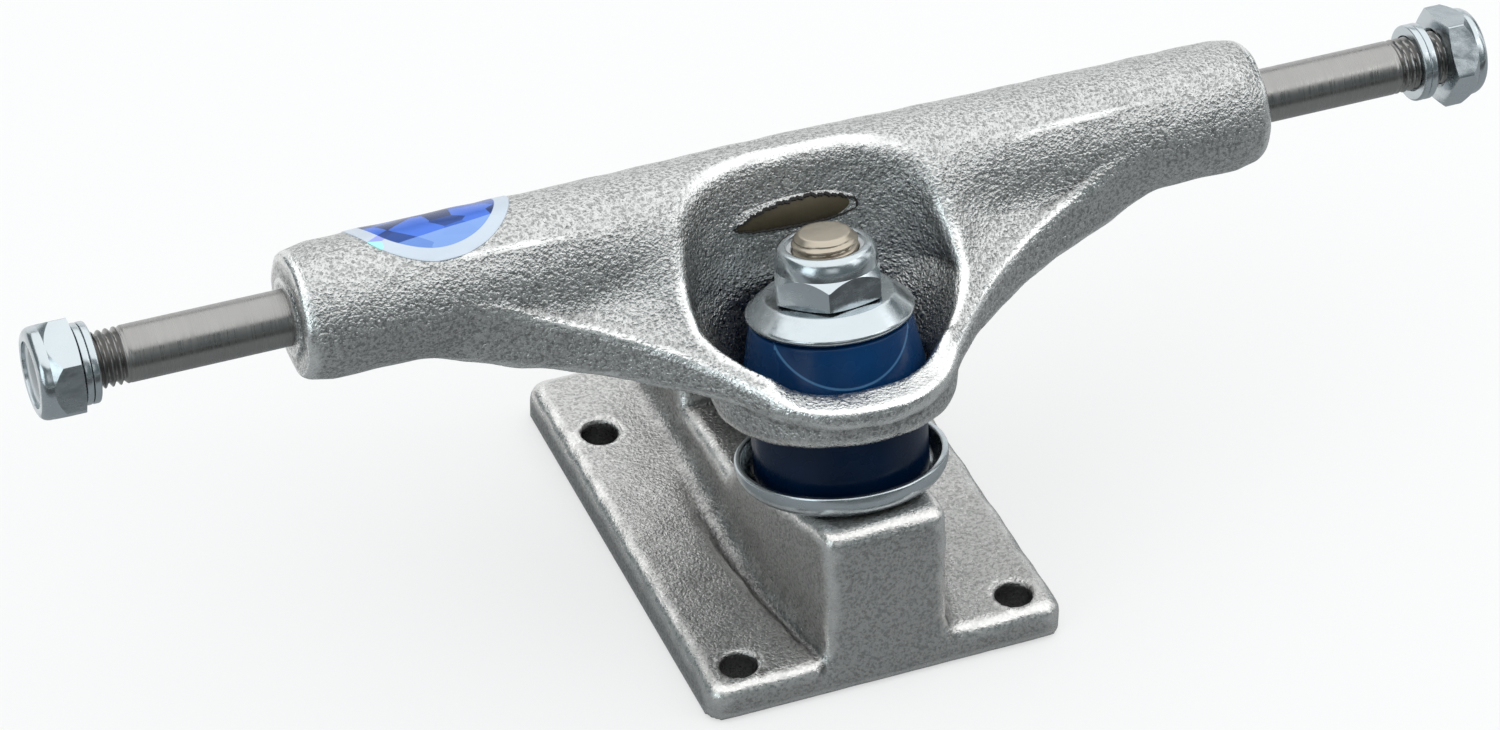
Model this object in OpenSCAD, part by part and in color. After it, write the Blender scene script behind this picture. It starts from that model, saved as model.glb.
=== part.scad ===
// Skateboard truck: a cast baseplate and hanger on a kingpin, with urethane bushings,
// a solid axle and its lock nuts. Millimetres. The origin is the centre of the four
// deck bolt holes on the underside of the baseplate, +X runs along the axle, -Y is the
// kingpin end and +Z points away from the deck.

/* [Deck bolts] */
// Hole spacing across the truck
hole_gap_x = 41.3; // [40:0.1:43]
// Hole spacing along the truck
hole_gap_y = 54; // [53:0.1:56]
// Diameter of a deck bolt hole
hole_d = 5.3; // [4.8:0.1:6]

/* [Baseplate] */
// Width of the baseplate
base_w = 53.2; // [52:0.1:60]
// Front end of the baseplate, ahead of the origin
base_front = 31.9; // [31.5:0.1:36]
// Back end of the baseplate, behind the origin
base_back = 42.6; // [42.2:0.1:46]
// Corner radius of the pads
corner_r = 3; // [2:0.5:5]
// Thickness of the pads
pad_t = 5.2; // [4.6:0.1:6]
// Bevel along the top edge of the pads
pad_bevel = 1.2; // [0.6:0.1:1.5]
// Width of the riser under the kingpin seat
riser_w = 19.4; // [18.6:0.2:22]
// How far the riser front leans back at its top
riser_lean = 2.6; // [1.5:0.1:3]
// Bevel along the top edges of the riser
riser_bevel = 2; // [1:0.25:2.5]
// Fillet where riser and tower meet the pads
foot_fillet_r = 3; // [1:0.5:4]
// Width of the pivot tower
tower_w = 20; // [19:0.5:24]
// Height of the saddle between riser and tower
saddle_z = 12.6; // [11:0.2:13]

/* [Kingpin] */
// Kingpin diameter
kingpin_d = 9.525; // [9:0.025:9.6]
// Backward tilt of the kingpin
kingpin_tilt = 14.25; // [13:0.25:16]
// Where the kingpin axis leaves the underside
kingpin_y = -19.2; // [-19.6:0.1:-18.8]
// Height of the washer seat along the kingpin
seat_t = 22.6; // [22:0.1:23.5]
// Hexagon of the kingpin head across flats
head_af = 14.2; // [13.5:0.1:14.5]
// Height of the kingpin head
head_h = 6; // [5:0.25:6.5]
// Length of the kingpin above the washer seat
kingpin_out = 37.1; // [36.5:0.1:38]
// Length of the thread at the kingpin top
kingpin_thread = 14; // [11:0.5:16]

/* [Bushings and cup washers] */
// Sheet thickness of the cup washers
washer_t = 1.3; // [1:0.1:1.5]
// Outer radius of the lower cup washer lip
lower_lip_r = 14.95; // [14.6:0.05:15.2]
// Height of the lower cup washer
lower_cup_h = 4.1; // [3.6:0.1:4.4]
// Radius of the lower bushing
lower_bush_r = 12.3; // [12:0.05:12.4]
// Height of the lower bushing
lower_bush_h = 13.1; // [12.6:0.1:13.6]
// Largest radius of the upper bushing
upper_bush_r = 12.8; // [12.2:0.05:12.9]
// Radius of the upper bushing under its washer
upper_bush_neck_r = 11.1; // [10.8:0.05:11.2]
// Height of the upper bushing
upper_bush_h = 10.7; // [10.4:0.1:11]
// Outer radius of the upper cup washer
upper_lip_r = 11.65; // [11.5:0.05:11.7]
// Height of the upper cup washer
upper_cup_h = 3.2; // [2.9:0.1:3.4]
// Radius of the flat top of the upper cup washer
upper_flat_r = 8.9; // [8.6:0.1:9.2]
// Bore radius of bushings and cup washers
bush_bore_r = 5; // [4.85:0.05:5.3]

/* [Kingpin nut] */
// Hexagon across flats
kp_nut_af = 14.29; // [13.8:0.01:14.5]
// Height of the hexagon
kp_nut_hex_h = 3.9; // [3.5:0.1:4.2]
// Height of the collar that grips the nylon ring
kp_nut_collar_h = 2.8; // [2.4:0.1:3]
// Radius of the collar
kp_nut_collar_r = 6.7; // [6.4:0.1:6.9]

/* [Axle] */
// Axle diameter
axle_d = 7.94; // [7.8:0.01:8]
// Diameter of the axle where it is cast into the hanger
axle_core_d = 7.5; // [7.2:0.05:7.6]
// Overall length of the axle
axle_l = 209.6; // [208:0.1:212]
// Axle position behind the origin
axle_y = 9.9; // [9.6:0.1:10.3]
// Axle height above the deck face
axle_z = 52.4; // [52:0.1:53]
// Length of the thread at each end
axle_thread = 11.2; // [10.5:0.1:12]
// Diameter of the plain cylinder that stands for the thread
thread_d = 7.58; // [7.5:0.01:7.62]

/* [Axle nuts and speed washers] */
// Hexagon across flats
nut_af = 12.7; // [12.2:0.1:13]
// Height of the hexagon
nut_hex_h = 3.9; // [3.5:0.1:4.2]
// Height of the collar that grips the nylon ring
nut_collar_h = 2.1; // [1.9:0.1:2.4]
// Radius of the collar
nut_collar_r = 5.9; // [5.6:0.1:6]
// How far the left nut's inner face is from the axle's end
left_nut_grip = 4.2; // [3.8:0.1:4.4]
// How far the right nut's inner face is from the axle's end
right_nut_grip = 3.7; // [3.4:0.1:3.8]
// Thickness of a speed washer
speed_t = 1.05; // [0.9:0.05:1.1]
// Outer diameter of a speed washer
speed_d = 11.1; // [10.6:0.1:11.6]
// Gap between the left nut and its speed washers
left_washer_gap = 0.2; // [0.1:0.05:0.4]
// Gap between the right nut and its speed washers
right_washer_gap = 2; // [1.6:0.1:2.2]

/* [Hanger] */
// Width of the hanger between its end faces
hanger_w = 143; // [140:0.2:146]
// Radius of the axle tube
tube_r = 9.4; // [9.2:0.05:9.6]
// Length of the taper at each tube end
end_taper = 4; // [3:0.5:6]
// How much the taper takes off the radius
end_drop = 0.65; // [0.4:0.05:0.9]
// Radius of the collar round the axle at each end
end_collar_r = 5.6; // [5:0.1:6.2]
// Height of that collar
end_collar_h = 0.5; // [0.3:0.1:0.8]
// Where the wing leaves the tube, from the middle
wing_x = 54; // [51:0.5:56]
// Height of the wing underside at the ring
wing_low_z = 41; // [40.4:0.1:41.6]
// Height of the wing top edge at the ring
wing_top_z = 44.2; // [43.8:0.1:44.8]
// Rounding of the wing edges
wing_edge = 1.2; // [0.6:0.1:1.5]
// Radius of the ring round the bushings, at its top
ring_r = 17.2; // [16.8:0.1:17.8]
// Draft of the ring from top to bottom
ring_draft = 0.8; // [0.3:0.1:1.2]
// Height of the ring at its front
ring_h = 6.8; // [6.4:0.1:7.2]
// Depth of the lower bushing seat in the ring
lower_seat_h = 2.5; // [2:0.1:3]
// Thickness of the web between the bushing seats
seat_web = 1.8; // [1.5:0.1:2.2]
// Clearance round each bushing in its seat
seat_gap = 0.5; // [0.3:0.05:0.6]
// Radius of the hole in the web round the kingpin
ring_hole_r = 6.6; // [6.2:0.1:7]
// Half width of the bowl across the truck
bowl_x = 19; // [18.5:0.1:19.5]
// Half width of the bowl along the truck
bowl_y = 12.4; // [12.2:0.05:12.8]
// Height over which the bowl flares out from the seat
bowl_flare = 9.5; // [8.5:0.5:10.5]

/* [Pivot] */
// Pivot centre behind the origin
pivot_y = 30; // [29.6:0.1:30.6]
// Pivot centre above the deck face
pivot_z = 16; // [15.6:0.1:16.4]
// Radius of the pivot nose
nose_r = 5; // [4.6:0.1:5.2]
// Clearance of the nose in its cup
nose_gap = 0.05; // [0.02:0.01:0.09]
// Wall of the pivot cup
cup_wall = 2.5; // [2:0.1:2.8]
// Height of the cup mouth above the pivot centre
cup_mouth = 4; // [3.5:0.25:4.5]
// Depth of the pivot cup below the pivot centre
cup_depth = 7.5; // [7:0.25:8]
// Radius of the pivot arm where it meets the ring
arm_r = 7.2; // [6.9:0.1:7.3]
// Half length of the web between tube and arm
web_x = 24; // [20:1:28]

/* [Sticker] */
// Distance of the sticker's middle from the hanger's end face
sticker_in = 21.5; // [17.5:0.5:25.5]
// Radius of the sticker
sticker_r = 11.5; // [9:0.5:12]
// Angle of the sticker's middle round the tube, from its front
sticker_turn = 125; // [110:1:130]
// Thickness of the sticker
sticker_t = 0.12; // [0.08:0.01:0.2]

/* [Clearances] */
// Running clearance of the nuts on their threads
run_gap = 0.04; // [0.02:0.01:0.06]
// Clearance of the speed washers on the axle
washer_gap = 0.1; // [0.05:0.01:0.1]
// Clearance of the kingpin in the baseplate
pin_gap = 0.04; // [0.02:0.01:0.08]

/* [Hidden] */
$fn = 96;
loft_fn = 32;
eps = 0.01;
over = 1;
// Depth of the thread's flank where shank and thread meet
thread_run = 0.3;
thread_bevel = 0.8;
// How far the kingpin's thread is under its shank
kp_thread_drop = 0.1;
kp_thread_bevel = 1.1;
// Depth of the recess over the kingpin head
head_sink = 3.2;
head_gap = 0.1;
// Half width and wall of the cored recess in the underside
core_x = 6;
core_wall = 6;
// How far the riser's side leans out from its front to the kingpin seat
riser_swell = 1;
seat_land = 14;
// How far the lower cup washer's lip stands over the end of its seat, and the slope behind it
lip_over = 1.5;
saddle_run = 3.5;
// The tower round the pivot cup
tower_l = 10;
tower_top_l = 11;
tower_back_z = 15;
tower_wall = 2.4;
tower_lip = 1.4;
tower_draft = 0.6;
// The wing's edge: where its top and underside start to rise, and how it fades into the tube
wing_top_x = 12;
wing_low_x = 24;
wing_fade = 12;
wing_fade_r = 25;
wing_upright = 6;
wing_end = 4;
// Land under the bowl's flare, and how far the bowl's cut reaches
bowl_land = 1.4;
bowl_reach = 40;
// The neck between the pivot nose and the arm
neck_h = 2;
neck_step = 0.6;
neck_flare = 2;
nut_wall = 0.9;
insert_low = 0.5;
hex_bevel = 0.6;
washer_edge = 0.15;

kingpin_r = kingpin_d / 2;
axle_r = axle_d / 2;
axle_core_r = axle_core_d / 2;
thread_r = thread_d / 2;
kp_thread_r = kingpin_r - kp_thread_drop;
left_nut_x = axle_l / 2 - left_nut_grip;
right_nut_x = axle_l / 2 - right_nut_grip;
sticker_x = hanger_w / 2 - sticker_in;

// Heights along the kingpin, from the underside of the baseplate
head_top_t = head_h + head_sink;
cup_floor_t = seat_t + washer_t;
web_low_t = cup_floor_t + lower_bush_h;
web_top_t = web_low_t + seat_web;
web_mid_t = (web_low_t + web_top_t) / 2;
ring_low_t = web_low_t - lower_seat_h;
ring_top_t = ring_low_t + ring_h;
bush_top_t = web_top_t + upper_bush_h;
washer_top_t = bush_top_t + washer_t;
kingpin_top_t = seat_t + kingpin_out;
lower_seat_r = lower_bush_r + seat_gap;
upper_seat_r = upper_bush_r + seat_gap;

// The lean axis runs from the pivot centre to the kingpin axis inside the ring
ring_y = kingpin_y + web_mid_t * sin(kingpin_tilt);
ring_z = web_mid_t * cos(kingpin_tilt);
lean_rise = atan2(ring_z - pivot_z, pivot_y - ring_y);
lean_l = norm([ring_z - pivot_z, pivot_y - ring_y]);
cup_r = nose_r + nose_gap + cup_wall;

seat_y = kingpin_y + seat_t * sin(kingpin_tilt);
seat_z = seat_t * cos(kingpin_tilt);
tube_front = axle_y - tube_r;
end_x = hanger_w / 2 - end_collar_h;

// The wing's sweep touches both the ring and the front of the tube
ring_mid_y = kingpin_y + ring_top_t * sin(kingpin_tilt);
sweep_h = tube_front - ring_mid_y;
sweep_r = (wing_x * wing_x + sweep_h * sweep_h - ring_r * ring_r) / (2 * (ring_r + sweep_h));
join_x = wing_x * ring_r / (ring_r + sweep_r);

// Point at height h and offset s from the pivot centre, in the lean axis frame
function lean_pt(h, s) = [pivot_y - h * cos(lean_rise) + s * sin(lean_rise),
                          pivot_z + h * sin(lean_rise) + s * cos(lean_rise)];
function seat_plane(y) = seat_z - (y - seat_y) * tan(kingpin_tilt);
function mix(a, b, f) = a + (b - a) * f;
function bezier(a, b, c, f) = mix(mix(a, b, f), mix(b, c, f), f);

module on_kingpin(t = 0) {
    translate([0, kingpin_y, 0]) rotate([-kingpin_tilt, 0, 0]) translate([0, 0, t]) children();
}

module on_axle(x = 0) {
    translate([x, axle_y, axle_z]) rotate([0, 90, 0]) children();
}

module on_lean_axis(h = 0) {
    translate([0, pivot_y, pivot_z]) rotate([90 - lean_rise, 0, 0]) translate([0, 0, h]) children();
}

// Extrudes a profile drawn as [y, z] points across the truck
module across(width) {
    rotate([90, 0, 90]) translate([0, 0, -width / 2]) linear_extrude(width) children();
}

// Rounded outline of the baseplate, drawn in by inset
module base_outline(inset = 0) {
    r = corner_r - inset / 2;
    x = base_w / 2 - inset;
    front = -base_front + inset;
    back = base_back - inset;
    translate([-x, front + r]) square([2 * x, back - front - 2 * r]);
    translate([-x + r, front]) square([2 * x - 2 * r, back - front]);
    for (cx = [-x + r, x - r], cy = [front + r, back - r]) translate([cx, cy]) circle(r);
}

module pads() {
    linear_extrude(pad_t - pad_bevel) base_outline();
    for (i = [1:3]) linear_extrude(pad_t - pad_bevel + pad_bevel * sin(30 * i))
        base_outline(pad_bevel * (1 - cos(30 * i)));
}

// Side profile of the riser, the saddle and the pivot tower
module spine_profile() {
    riser_top_y = -base_front + riser_lean;
    seat_end_y = seat_y + (lower_lip_r - lip_over) * cos(kingpin_tilt);
    tower_top = lean_pt(cup_mouth, cup_r + tower_wall);
    tower_back = lean_pt(cup_mouth - tower_top_l, cup_r + tower_wall - tower_draft);
    tower_foot = lean_pt(cup_mouth, -cup_r - tower_lip);
    polygon([[-base_front, 0], [-base_front, pad_t], [riser_top_y, seat_plane(riser_top_y)],
             [seat_end_y, seat_plane(seat_end_y)], [seat_end_y + saddle_run, saddle_z],
             tower_foot, tower_top, tower_back, [base_back - tower_draft, tower_back_z],
             [base_back, pad_t], [base_back, 0]]);
}

// Right side of the spine seen along Z: a little wider at the kingpin seat than at its front face
function spine_side() = [[riser_w / 2 - riser_swell, -base_front], [riser_w / 2 + riser_swell, seat_y],
                         [riser_w / 2 + riser_swell, seat_y + seat_land],
                         [tower_w / 2, pivot_y - tower_l], [tower_w / 2, base_back]];

module both_sides() {
    children();
    mirror([1, 0, 0]) children();
}

module spine_outline() {
    both_sides() polygon(concat([[-eps, -base_front]], spine_side(), [[-eps, base_back]]));
}

// Takes the sharp edge off both sides of the kingpin seat
module seat_bevels() {
    half = riser_w / 2 + riser_swell;
    for (side = [-1, 1]) on_kingpin(seat_t) translate([side * half, 0, 0])
        rotate([0, 45, 0]) cube([riser_bevel * sqrt(2), 3 * riser_w, riser_bevel * sqrt(2)], center = true);
}

// Fillet at the foot of one straight piece of the spine's side, from p to q
module foot_fillet(p, q) {
    lap = 0.4;
    translate([p.x, p.y, pad_t]) rotate([90, 0, atan2(q.y - p.y, q.x - p.x) + 90])
        translate([0, 0, -lap]) linear_extrude(norm(q - p) + 2 * lap) difference() {
            translate([-foot_fillet_r, -0.5]) square([foot_fillet_r + 1, foot_fillet_r + 0.5]);
            translate([-foot_fillet_r, foot_fillet_r]) circle(foot_fillet_r);
        }
}

module foot_fillets() {
    side = spine_side();
    intersection() {
        both_sides() for (i = [0:len(side) - 2]) foot_fillet(side[i], side[i + 1]);
        translate([-base_w / 2, pad_bevel - base_front, 0])
            cube([base_w, base_front + base_back - 2 * pad_bevel, pad_t + 2 * foot_fillet_r]);
    }
}

// Mirrors what is drawn for the right end to the left one when side is below 0
module on_side(side) {
    if (side > 0) children();
    else mirror([1, 0, 0]) children();
}

module baseplate() {
    color("silver") difference() {
        union() {
            pads();
            intersection() {
                across(base_w) spine_profile();
                linear_extrude(seat_z + base_back) spine_outline();
            }
            foot_fillets();
        }
        seat_bevels();
        for (x = [-1, 1], y = [-1, 1])
            translate([x * hole_gap_x / 2, y * hole_gap_y / 2, -over])
                cylinder(d = hole_d, h = pad_t + 2 * over);
        on_kingpin(-head_h) cylinder(r = head_af / sqrt(3) + head_gap, h = head_top_t + head_h, $fn = 6);
        on_kingpin() cylinder(r = kingpin_r + pin_gap, h = seat_t + over);
        on_lean_axis(-cup_depth) cylinder(r = cup_r, h = cup_depth + cup_mouth + over);
        translate([-core_x, seat_y + 2 * core_x, -over])
            cube([2 * core_x, pivot_y - seat_y - 4 * core_x, saddle_z - core_wall + over]);
    }
}

module pivot_cup() {
    color("#1b1c1e") on_lean_axis() difference() {
        translate([0, 0, -cup_depth]) cylinder(r = cup_r, h = cup_depth + cup_mouth);
        cylinder(r = nose_r + nose_gap, h = cup_mouth + over);
        sphere(r = nose_r + nose_gap);
    }
}

module kingpin() {
    color("#b9aa98") on_kingpin() rotate_extrude()
        polygon([[0, head_top_t - eps], [kingpin_r, head_top_t - eps],
                 [kingpin_r, kingpin_top_t - kingpin_thread],
                 [kp_thread_r, kingpin_top_t - kingpin_thread + thread_run],
                 [kp_thread_r, kingpin_top_t - kp_thread_bevel],
                 [kp_thread_r - kp_thread_bevel, kingpin_top_t], [0, kingpin_top_t]]);
    color("#b9aa98") on_kingpin(head_top_t - head_h) cylinder(r = head_af / sqrt(3), h = head_h, $fn = 6);
}

module lower_cup_washer() {
    floor_r = lower_bush_r + 0.45;
    wall = washer_t * 0.8;
    color("#aeb9c0") on_kingpin(seat_t) rotate_extrude()
        polygon([[bush_bore_r, 0], [floor_r - 0.3, 0], [lower_lip_r - 0.9, 1.3],
                 [lower_lip_r - 0.15, lower_cup_h * 0.6], [lower_lip_r, lower_cup_h - 0.3],
                 [lower_lip_r - 0.3, lower_cup_h], [lower_lip_r - wall + 0.2, lower_cup_h],
                 [lower_lip_r - wall - 0.2, lower_cup_h * 0.62], [floor_r, washer_t],
                 [bush_bore_r, washer_t]]);
}

module lower_bushing() {
    edge = 0.7;
    color("#1f4f8f") on_kingpin(cup_floor_t) rotate_extrude()
        polygon([[bush_bore_r, 0], [lower_bush_r - edge, 0], [lower_bush_r, edge],
                 [lower_bush_r, lower_bush_h - edge], [lower_bush_r - edge, lower_bush_h],
                 [bush_bore_r, lower_bush_h]]);
}

module upper_bushing() {
    skirt_h = upper_bush_h - upper_cup_h + washer_t;
    color("#1f4f8f") on_kingpin(web_top_t) rotate_extrude()
        polygon([[bush_bore_r, 0], [upper_bush_r - 0.6, 0], [upper_bush_r - 0.1, 0.6],
                 [upper_bush_r, upper_bush_h * 0.36], [upper_bush_neck_r, skirt_h - 0.4],
                 [upper_lip_r - washer_t - 0.2, skirt_h - 0.2],
                 [upper_lip_r - washer_t - 0.2, upper_bush_h - 1.5],
                 [upper_flat_r - 0.9, upper_bush_h], [bush_bore_r, upper_bush_h]]);
}

module upper_cup_washer() {
    skirt = washer_t - upper_cup_h;
    color("#c6d2d8") on_kingpin(bush_top_t) rotate_extrude()
        polygon([[bush_bore_r, 0], [upper_flat_r - 0.6, 0], [upper_lip_r - washer_t, -1.5],
                 [upper_lip_r - washer_t, skirt], [upper_lip_r - 0.35, skirt], [upper_lip_r, skirt + 0.5],
                 [upper_lip_r, skirt + 1.0], [upper_flat_r + 0.2, washer_t - 0.1], [upper_flat_r, washer_t],
                 [bush_bore_r, washer_t]]);
}

// Lock nut standing on the XY plane: a chamfered hexagon under a domed collar
module lock_nut(af, hex_h, collar_r, collar_h, bore_r, insert_r) {
    corner_r = af / sqrt(3);
    difference() {
        union() {
            intersection() {
                cylinder(r = corner_r, h = hex_h + hex_bevel, $fn = 6);
                rotate_extrude() polygon([[0, 0], [af / 2 - hex_bevel / 3, 0], [corner_r, hex_bevel],
                                          [corner_r, hex_h - hex_bevel],
                                          [af / 2 - hex_bevel, hex_h + hex_bevel],
                                          [0, hex_h + hex_bevel]]);
            }
            rotate_extrude() polygon([[0, hex_h - hex_bevel], [collar_r, hex_h - hex_bevel],
                                      [collar_r, hex_h + collar_h * 0.5],
                                      [collar_r - 0.4 * nut_wall, hex_h + collar_h * 0.85],
                                      [collar_r - nut_wall, hex_h + collar_h], [0, hex_h + collar_h]]);
        }
        translate([0, 0, -over]) cylinder(r = bore_r, h = hex_h + collar_h + 2 * over);
        translate([0, 0, hex_h]) cylinder(r = insert_r, h = collar_h + over);
    }
}

// The nylon ring that fits inside the collar of a lock nut
module nut_ring(collar_h, bore_r, insert_r) {
    difference() {
        cylinder(r = insert_r, h = collar_h - insert_low);
        translate([0, 0, -over]) cylinder(r = bore_r, h = collar_h + 2 * over);
    }
}

module kingpin_nut() {
    color("#c6d2d8") on_kingpin(washer_top_t) rotate([0, 0, 10])
        lock_nut(kp_nut_af, kp_nut_hex_h, kp_nut_collar_r, kp_nut_collar_h, kp_thread_r + run_gap,
                 kp_nut_collar_r - nut_wall);
}

module kingpin_nut_insert() {
    color("#d9dbdc") on_kingpin(washer_top_t + kp_nut_hex_h)
        nut_ring(kp_nut_collar_h, kp_thread_r + run_gap, kp_nut_collar_r - nut_wall);
}

// Front edge of the wing seen from above: the ring's circle, then an arc that touches the ring
// at join_x and leaves the tube at wing_x
function wing_front(x) = let (d = max(wing_x - abs(x), 0))
    abs(x) < join_x ? ring_mid_y - sqrt(ring_r * ring_r - x * x)
                    : tube_front - sweep_r + sqrt(sweep_r * sweep_r - d * d)
                      + pow(max(abs(x) - wing_x + wing_fade, 0), 2) / (2 * wing_fade_r);
function wing_low(x) = wing_low_z + 0.13 * max(abs(x) - wing_low_x, 0);
function wing_top(x) = wing_top_z + 0.27 * max(abs(x) - wing_top_x, 0);
// The front edge is parallel to the kingpin at the ring and upright where it leaves the tube
function wing_lean(x) = max(1 - abs(x) / (wing_x - wing_upright), 0);

// Section of the wing at x: the upright front edge, then a hollow sweep up to the tube
function wing_section(x) =
    let (low = wing_low(x),
         top = wing_top(x),
         back = wing_front(x),
         front = back - (top - low) * tan(kingpin_tilt) * wing_lean(x),
         start = [back + wing_edge, top],
         finish = [axle_y - 0.97 * tube_r * cos(55), axle_z + 0.97 * tube_r * sin(55)],
         hollow = 0.14 + 0.46 * min(max(abs(x) - bowl_x, 0) / wing_low_x, 1),
         control = mix((start + finish) / 2, [finish.x, start.y], hollow))
    [[front, low + wing_edge], [back, top - wing_edge], [back + 0.3 * wing_edge, top - 0.3 * wing_edge],
     start, bezier(start, control, finish, 0.25), bezier(start, control, finish, 0.5),
     bezier(start, control, finish, 0.75), finish, [axle_y, axle_z], [axle_y, axle_z - 0.93 * tube_r],
     [front + wing_edge, low], [front + 0.3 * wing_edge, low + 0.3 * wing_edge]];

module wings() {
    end = wing_x + wing_end;
    turns = 10;
    runs = 10;
    right = [for (i = [1:runs]) join_x + (end - join_x) * i / runs];
    xs = concat([for (i = [runs - 1:-1:0]) -right[i]],
                [for (i = [0:turns]) join_x * sin(-90 + 180 * i / turns)], right);
    steps = len(xs) - 1;
    ring = len(wing_section(0));
    points = [for (x = xs) for (p = wing_section(x)) [x, p.x, p.y]];
    sides = [for (i = [0:steps - 1]) for (j = [0:ring - 1])
        let (a = i * ring + j, b = i * ring + (j + 1) % ring)
        for (tri = [[a, b, b + ring], [a, b + ring, a + ring]]) tri];
    first = [for (j = [ring - 1:-1:0]) j];
    last = [for (j = [0:ring - 1]) steps * ring + j];
    polyhedron(points, concat(sides, [first, last]), convexity = 6);
}

// Bowl outline seen along the kingpin: between an ellipse and a rectangle
function bowl_outline() = [for (i = [0:47])
    let (a = i * 7.5, c = cos(a), s = sin(a))
    [bowl_x * sign(c) * pow(abs(c), 0.8), bowl_y * sign(s) * pow(abs(s), 0.8)]];

module bowl() {
    flare_t = web_top_t + bowl_land;
    on_kingpin(web_top_t) cylinder(r = upper_seat_r, h = bowl_flare);
    hull() {
        on_kingpin(flare_t) cylinder(r = upper_seat_r, h = eps, $fn = 48);
        on_kingpin(flare_t + bowl_flare) linear_extrude(eps) polygon(bowl_outline());
    }
    on_kingpin(flare_t + bowl_flare) linear_extrude(bowl_reach) polygon(bowl_outline());
}

module tube_end() {
    straight = end_x - end_taper;
    rotate_extrude() polygon([[0, straight - end_taper], [tube_r, straight - end_taper], [tube_r, straight],
                              [tube_r - end_drop, end_x - end_collar_h],
                              [tube_r - end_drop - end_collar_h, end_x],
                              [end_collar_r, end_x], [end_collar_r, end_x + end_collar_h],
                              [0, end_x + end_collar_h]]);
}

module pivot_arm() {
    neck_low = cup_mouth + neck_h / 2;
    arm_low = neck_low + neck_h;
    on_lean_axis() {
        sphere(r = nose_r);
        cylinder(r = nose_r, h = neck_low + eps);
        translate([0, 0, neck_low]) cylinder(r1 = nose_r + neck_step, r2 = nose_r + neck_flare, h = neck_h);
        translate([0, 0, neck_low + neck_h])
            cylinder(r1 = nose_r + neck_flare, r2 = arm_r, h = lean_l - neck_low - neck_h - lower_seat_r / 2);
    }
    hull() {
        on_axle(-web_x) cylinder(r = 0.78 * tube_r, h = 2 * web_x, $fn = loft_fn);
        on_lean_axis(arm_low)
            cylinder(r = nose_r + neck_flare / 2, h = lean_l - arm_low - ring_r / 2, $fn = loft_fn);
        on_kingpin(ring_low_t + ring_draft)
            cylinder(r = ring_r - 2 * neck_flare, h = ring_h / 2, $fn = loft_fn);
    }
}

module hanger() {
    color("#c2c3c5") difference() {
        union() {
            on_axle(end_taper - end_x) cylinder(r = tube_r, h = 2 * (end_x - end_taper));
            both_sides() on_axle() tube_end();
            wings();
            on_kingpin(ring_low_t) cylinder(r1 = ring_r - ring_draft, r2 = ring_r, h = ring_h);
            pivot_arm();
        }
        bowl();
        on_kingpin(ring_low_t - ring_r) cylinder(r = lower_seat_r, h = ring_r + lower_seat_h);
        on_kingpin(ring_low_t - over) cylinder(r = ring_hole_r, h = ring_h + 2 * over);
        on_axle(-hanger_w) cylinder(r = axle_core_r, h = 2 * hanger_w);
    }
}

module axle() {
    half = axle_l / 2;
    smooth = half - axle_thread;
    shoulder = hanger_w / 2;
    color("#6d6b69") on_axle() rotate_extrude()
        polygon([[0, -half], [thread_r - thread_bevel, -half], [thread_r, thread_bevel - half],
                 [thread_r, -smooth - thread_run], [axle_r, -smooth], [axle_r, -shoulder],
                 [axle_core_r, -shoulder], [axle_core_r, shoulder], [axle_r, shoulder], [axle_r, smooth],
                 [thread_r, smooth + thread_run], [thread_r, half - thread_bevel],
                 [thread_r - thread_bevel, half], [0, half]]);
}

module speed_washer(side, x) {
    color("#c9d1d6") on_side(side) on_axle(x) difference() {
        rotate_extrude() polygon([[0, 0], [speed_d / 2 - washer_edge, 0], [speed_d / 2, washer_edge],
                                  [speed_d / 2, speed_t - washer_edge], [speed_d / 2 - washer_edge, speed_t],
                                  [0, speed_t]]);
        translate([0, 0, -over]) cylinder(r = axle_r + washer_gap, h = speed_t + 2 * over);
    }
}

module left_inner_washer() {
    speed_washer(-1, left_nut_x - left_washer_gap - 2 * speed_t);
}

module left_outer_washer() {
    speed_washer(-1, left_nut_x - left_washer_gap - speed_t);
}

module right_inner_washer() {
    speed_washer(1, right_nut_x - right_washer_gap - 2 * speed_t);
}

module right_outer_washer() {
    speed_washer(1, right_nut_x - right_washer_gap - speed_t);
}

module axle_nut(side, x, turn) {
    color("#c6d2d8") on_side(side) on_axle(x) rotate([0, 0, turn])
        lock_nut(nut_af, nut_hex_h, nut_collar_r, nut_collar_h, thread_r + run_gap, nut_collar_r - nut_wall);
}

module axle_nut_insert(side, x) {
    color("#d9dbdc") on_side(side) on_axle(x + nut_hex_h)
        nut_ring(nut_collar_h, thread_r + run_gap, nut_collar_r - nut_wall);
}

module left_axle_nut() {
    axle_nut(-1, left_nut_x, 8);
}

module left_nut_insert() {
    axle_nut_insert(-1, left_nut_x);
}

module right_axle_nut() {
    axle_nut(1, right_nut_x, 22);
}

module right_nut_insert() {
    axle_nut_insert(1, right_nut_x);
}

// Outline of a round sticker wrapped on the tube, seen square to the sticker's middle
function sticker_outline() = [for (i = [0:35])
    [sticker_r * cos(10 * i), tube_r * sin(sticker_r * sin(10 * i) / tube_r * 180 / PI)]];

module sticker() {
    color("#2b62b8") intersection() {
        on_axle(-sticker_x - sticker_r - over) difference() {
            cylinder(r = tube_r + sticker_t, h = 2 * sticker_r + 2 * over);
            translate([0, 0, -over]) cylinder(r = tube_r, h = 2 * sticker_r + 4 * over);
        }
        translate([-sticker_x, axle_y, axle_z]) rotate([90 - sticker_turn, 0, 0])
            linear_extrude(2 * tube_r) polygon(sticker_outline());
    }
}

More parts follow.
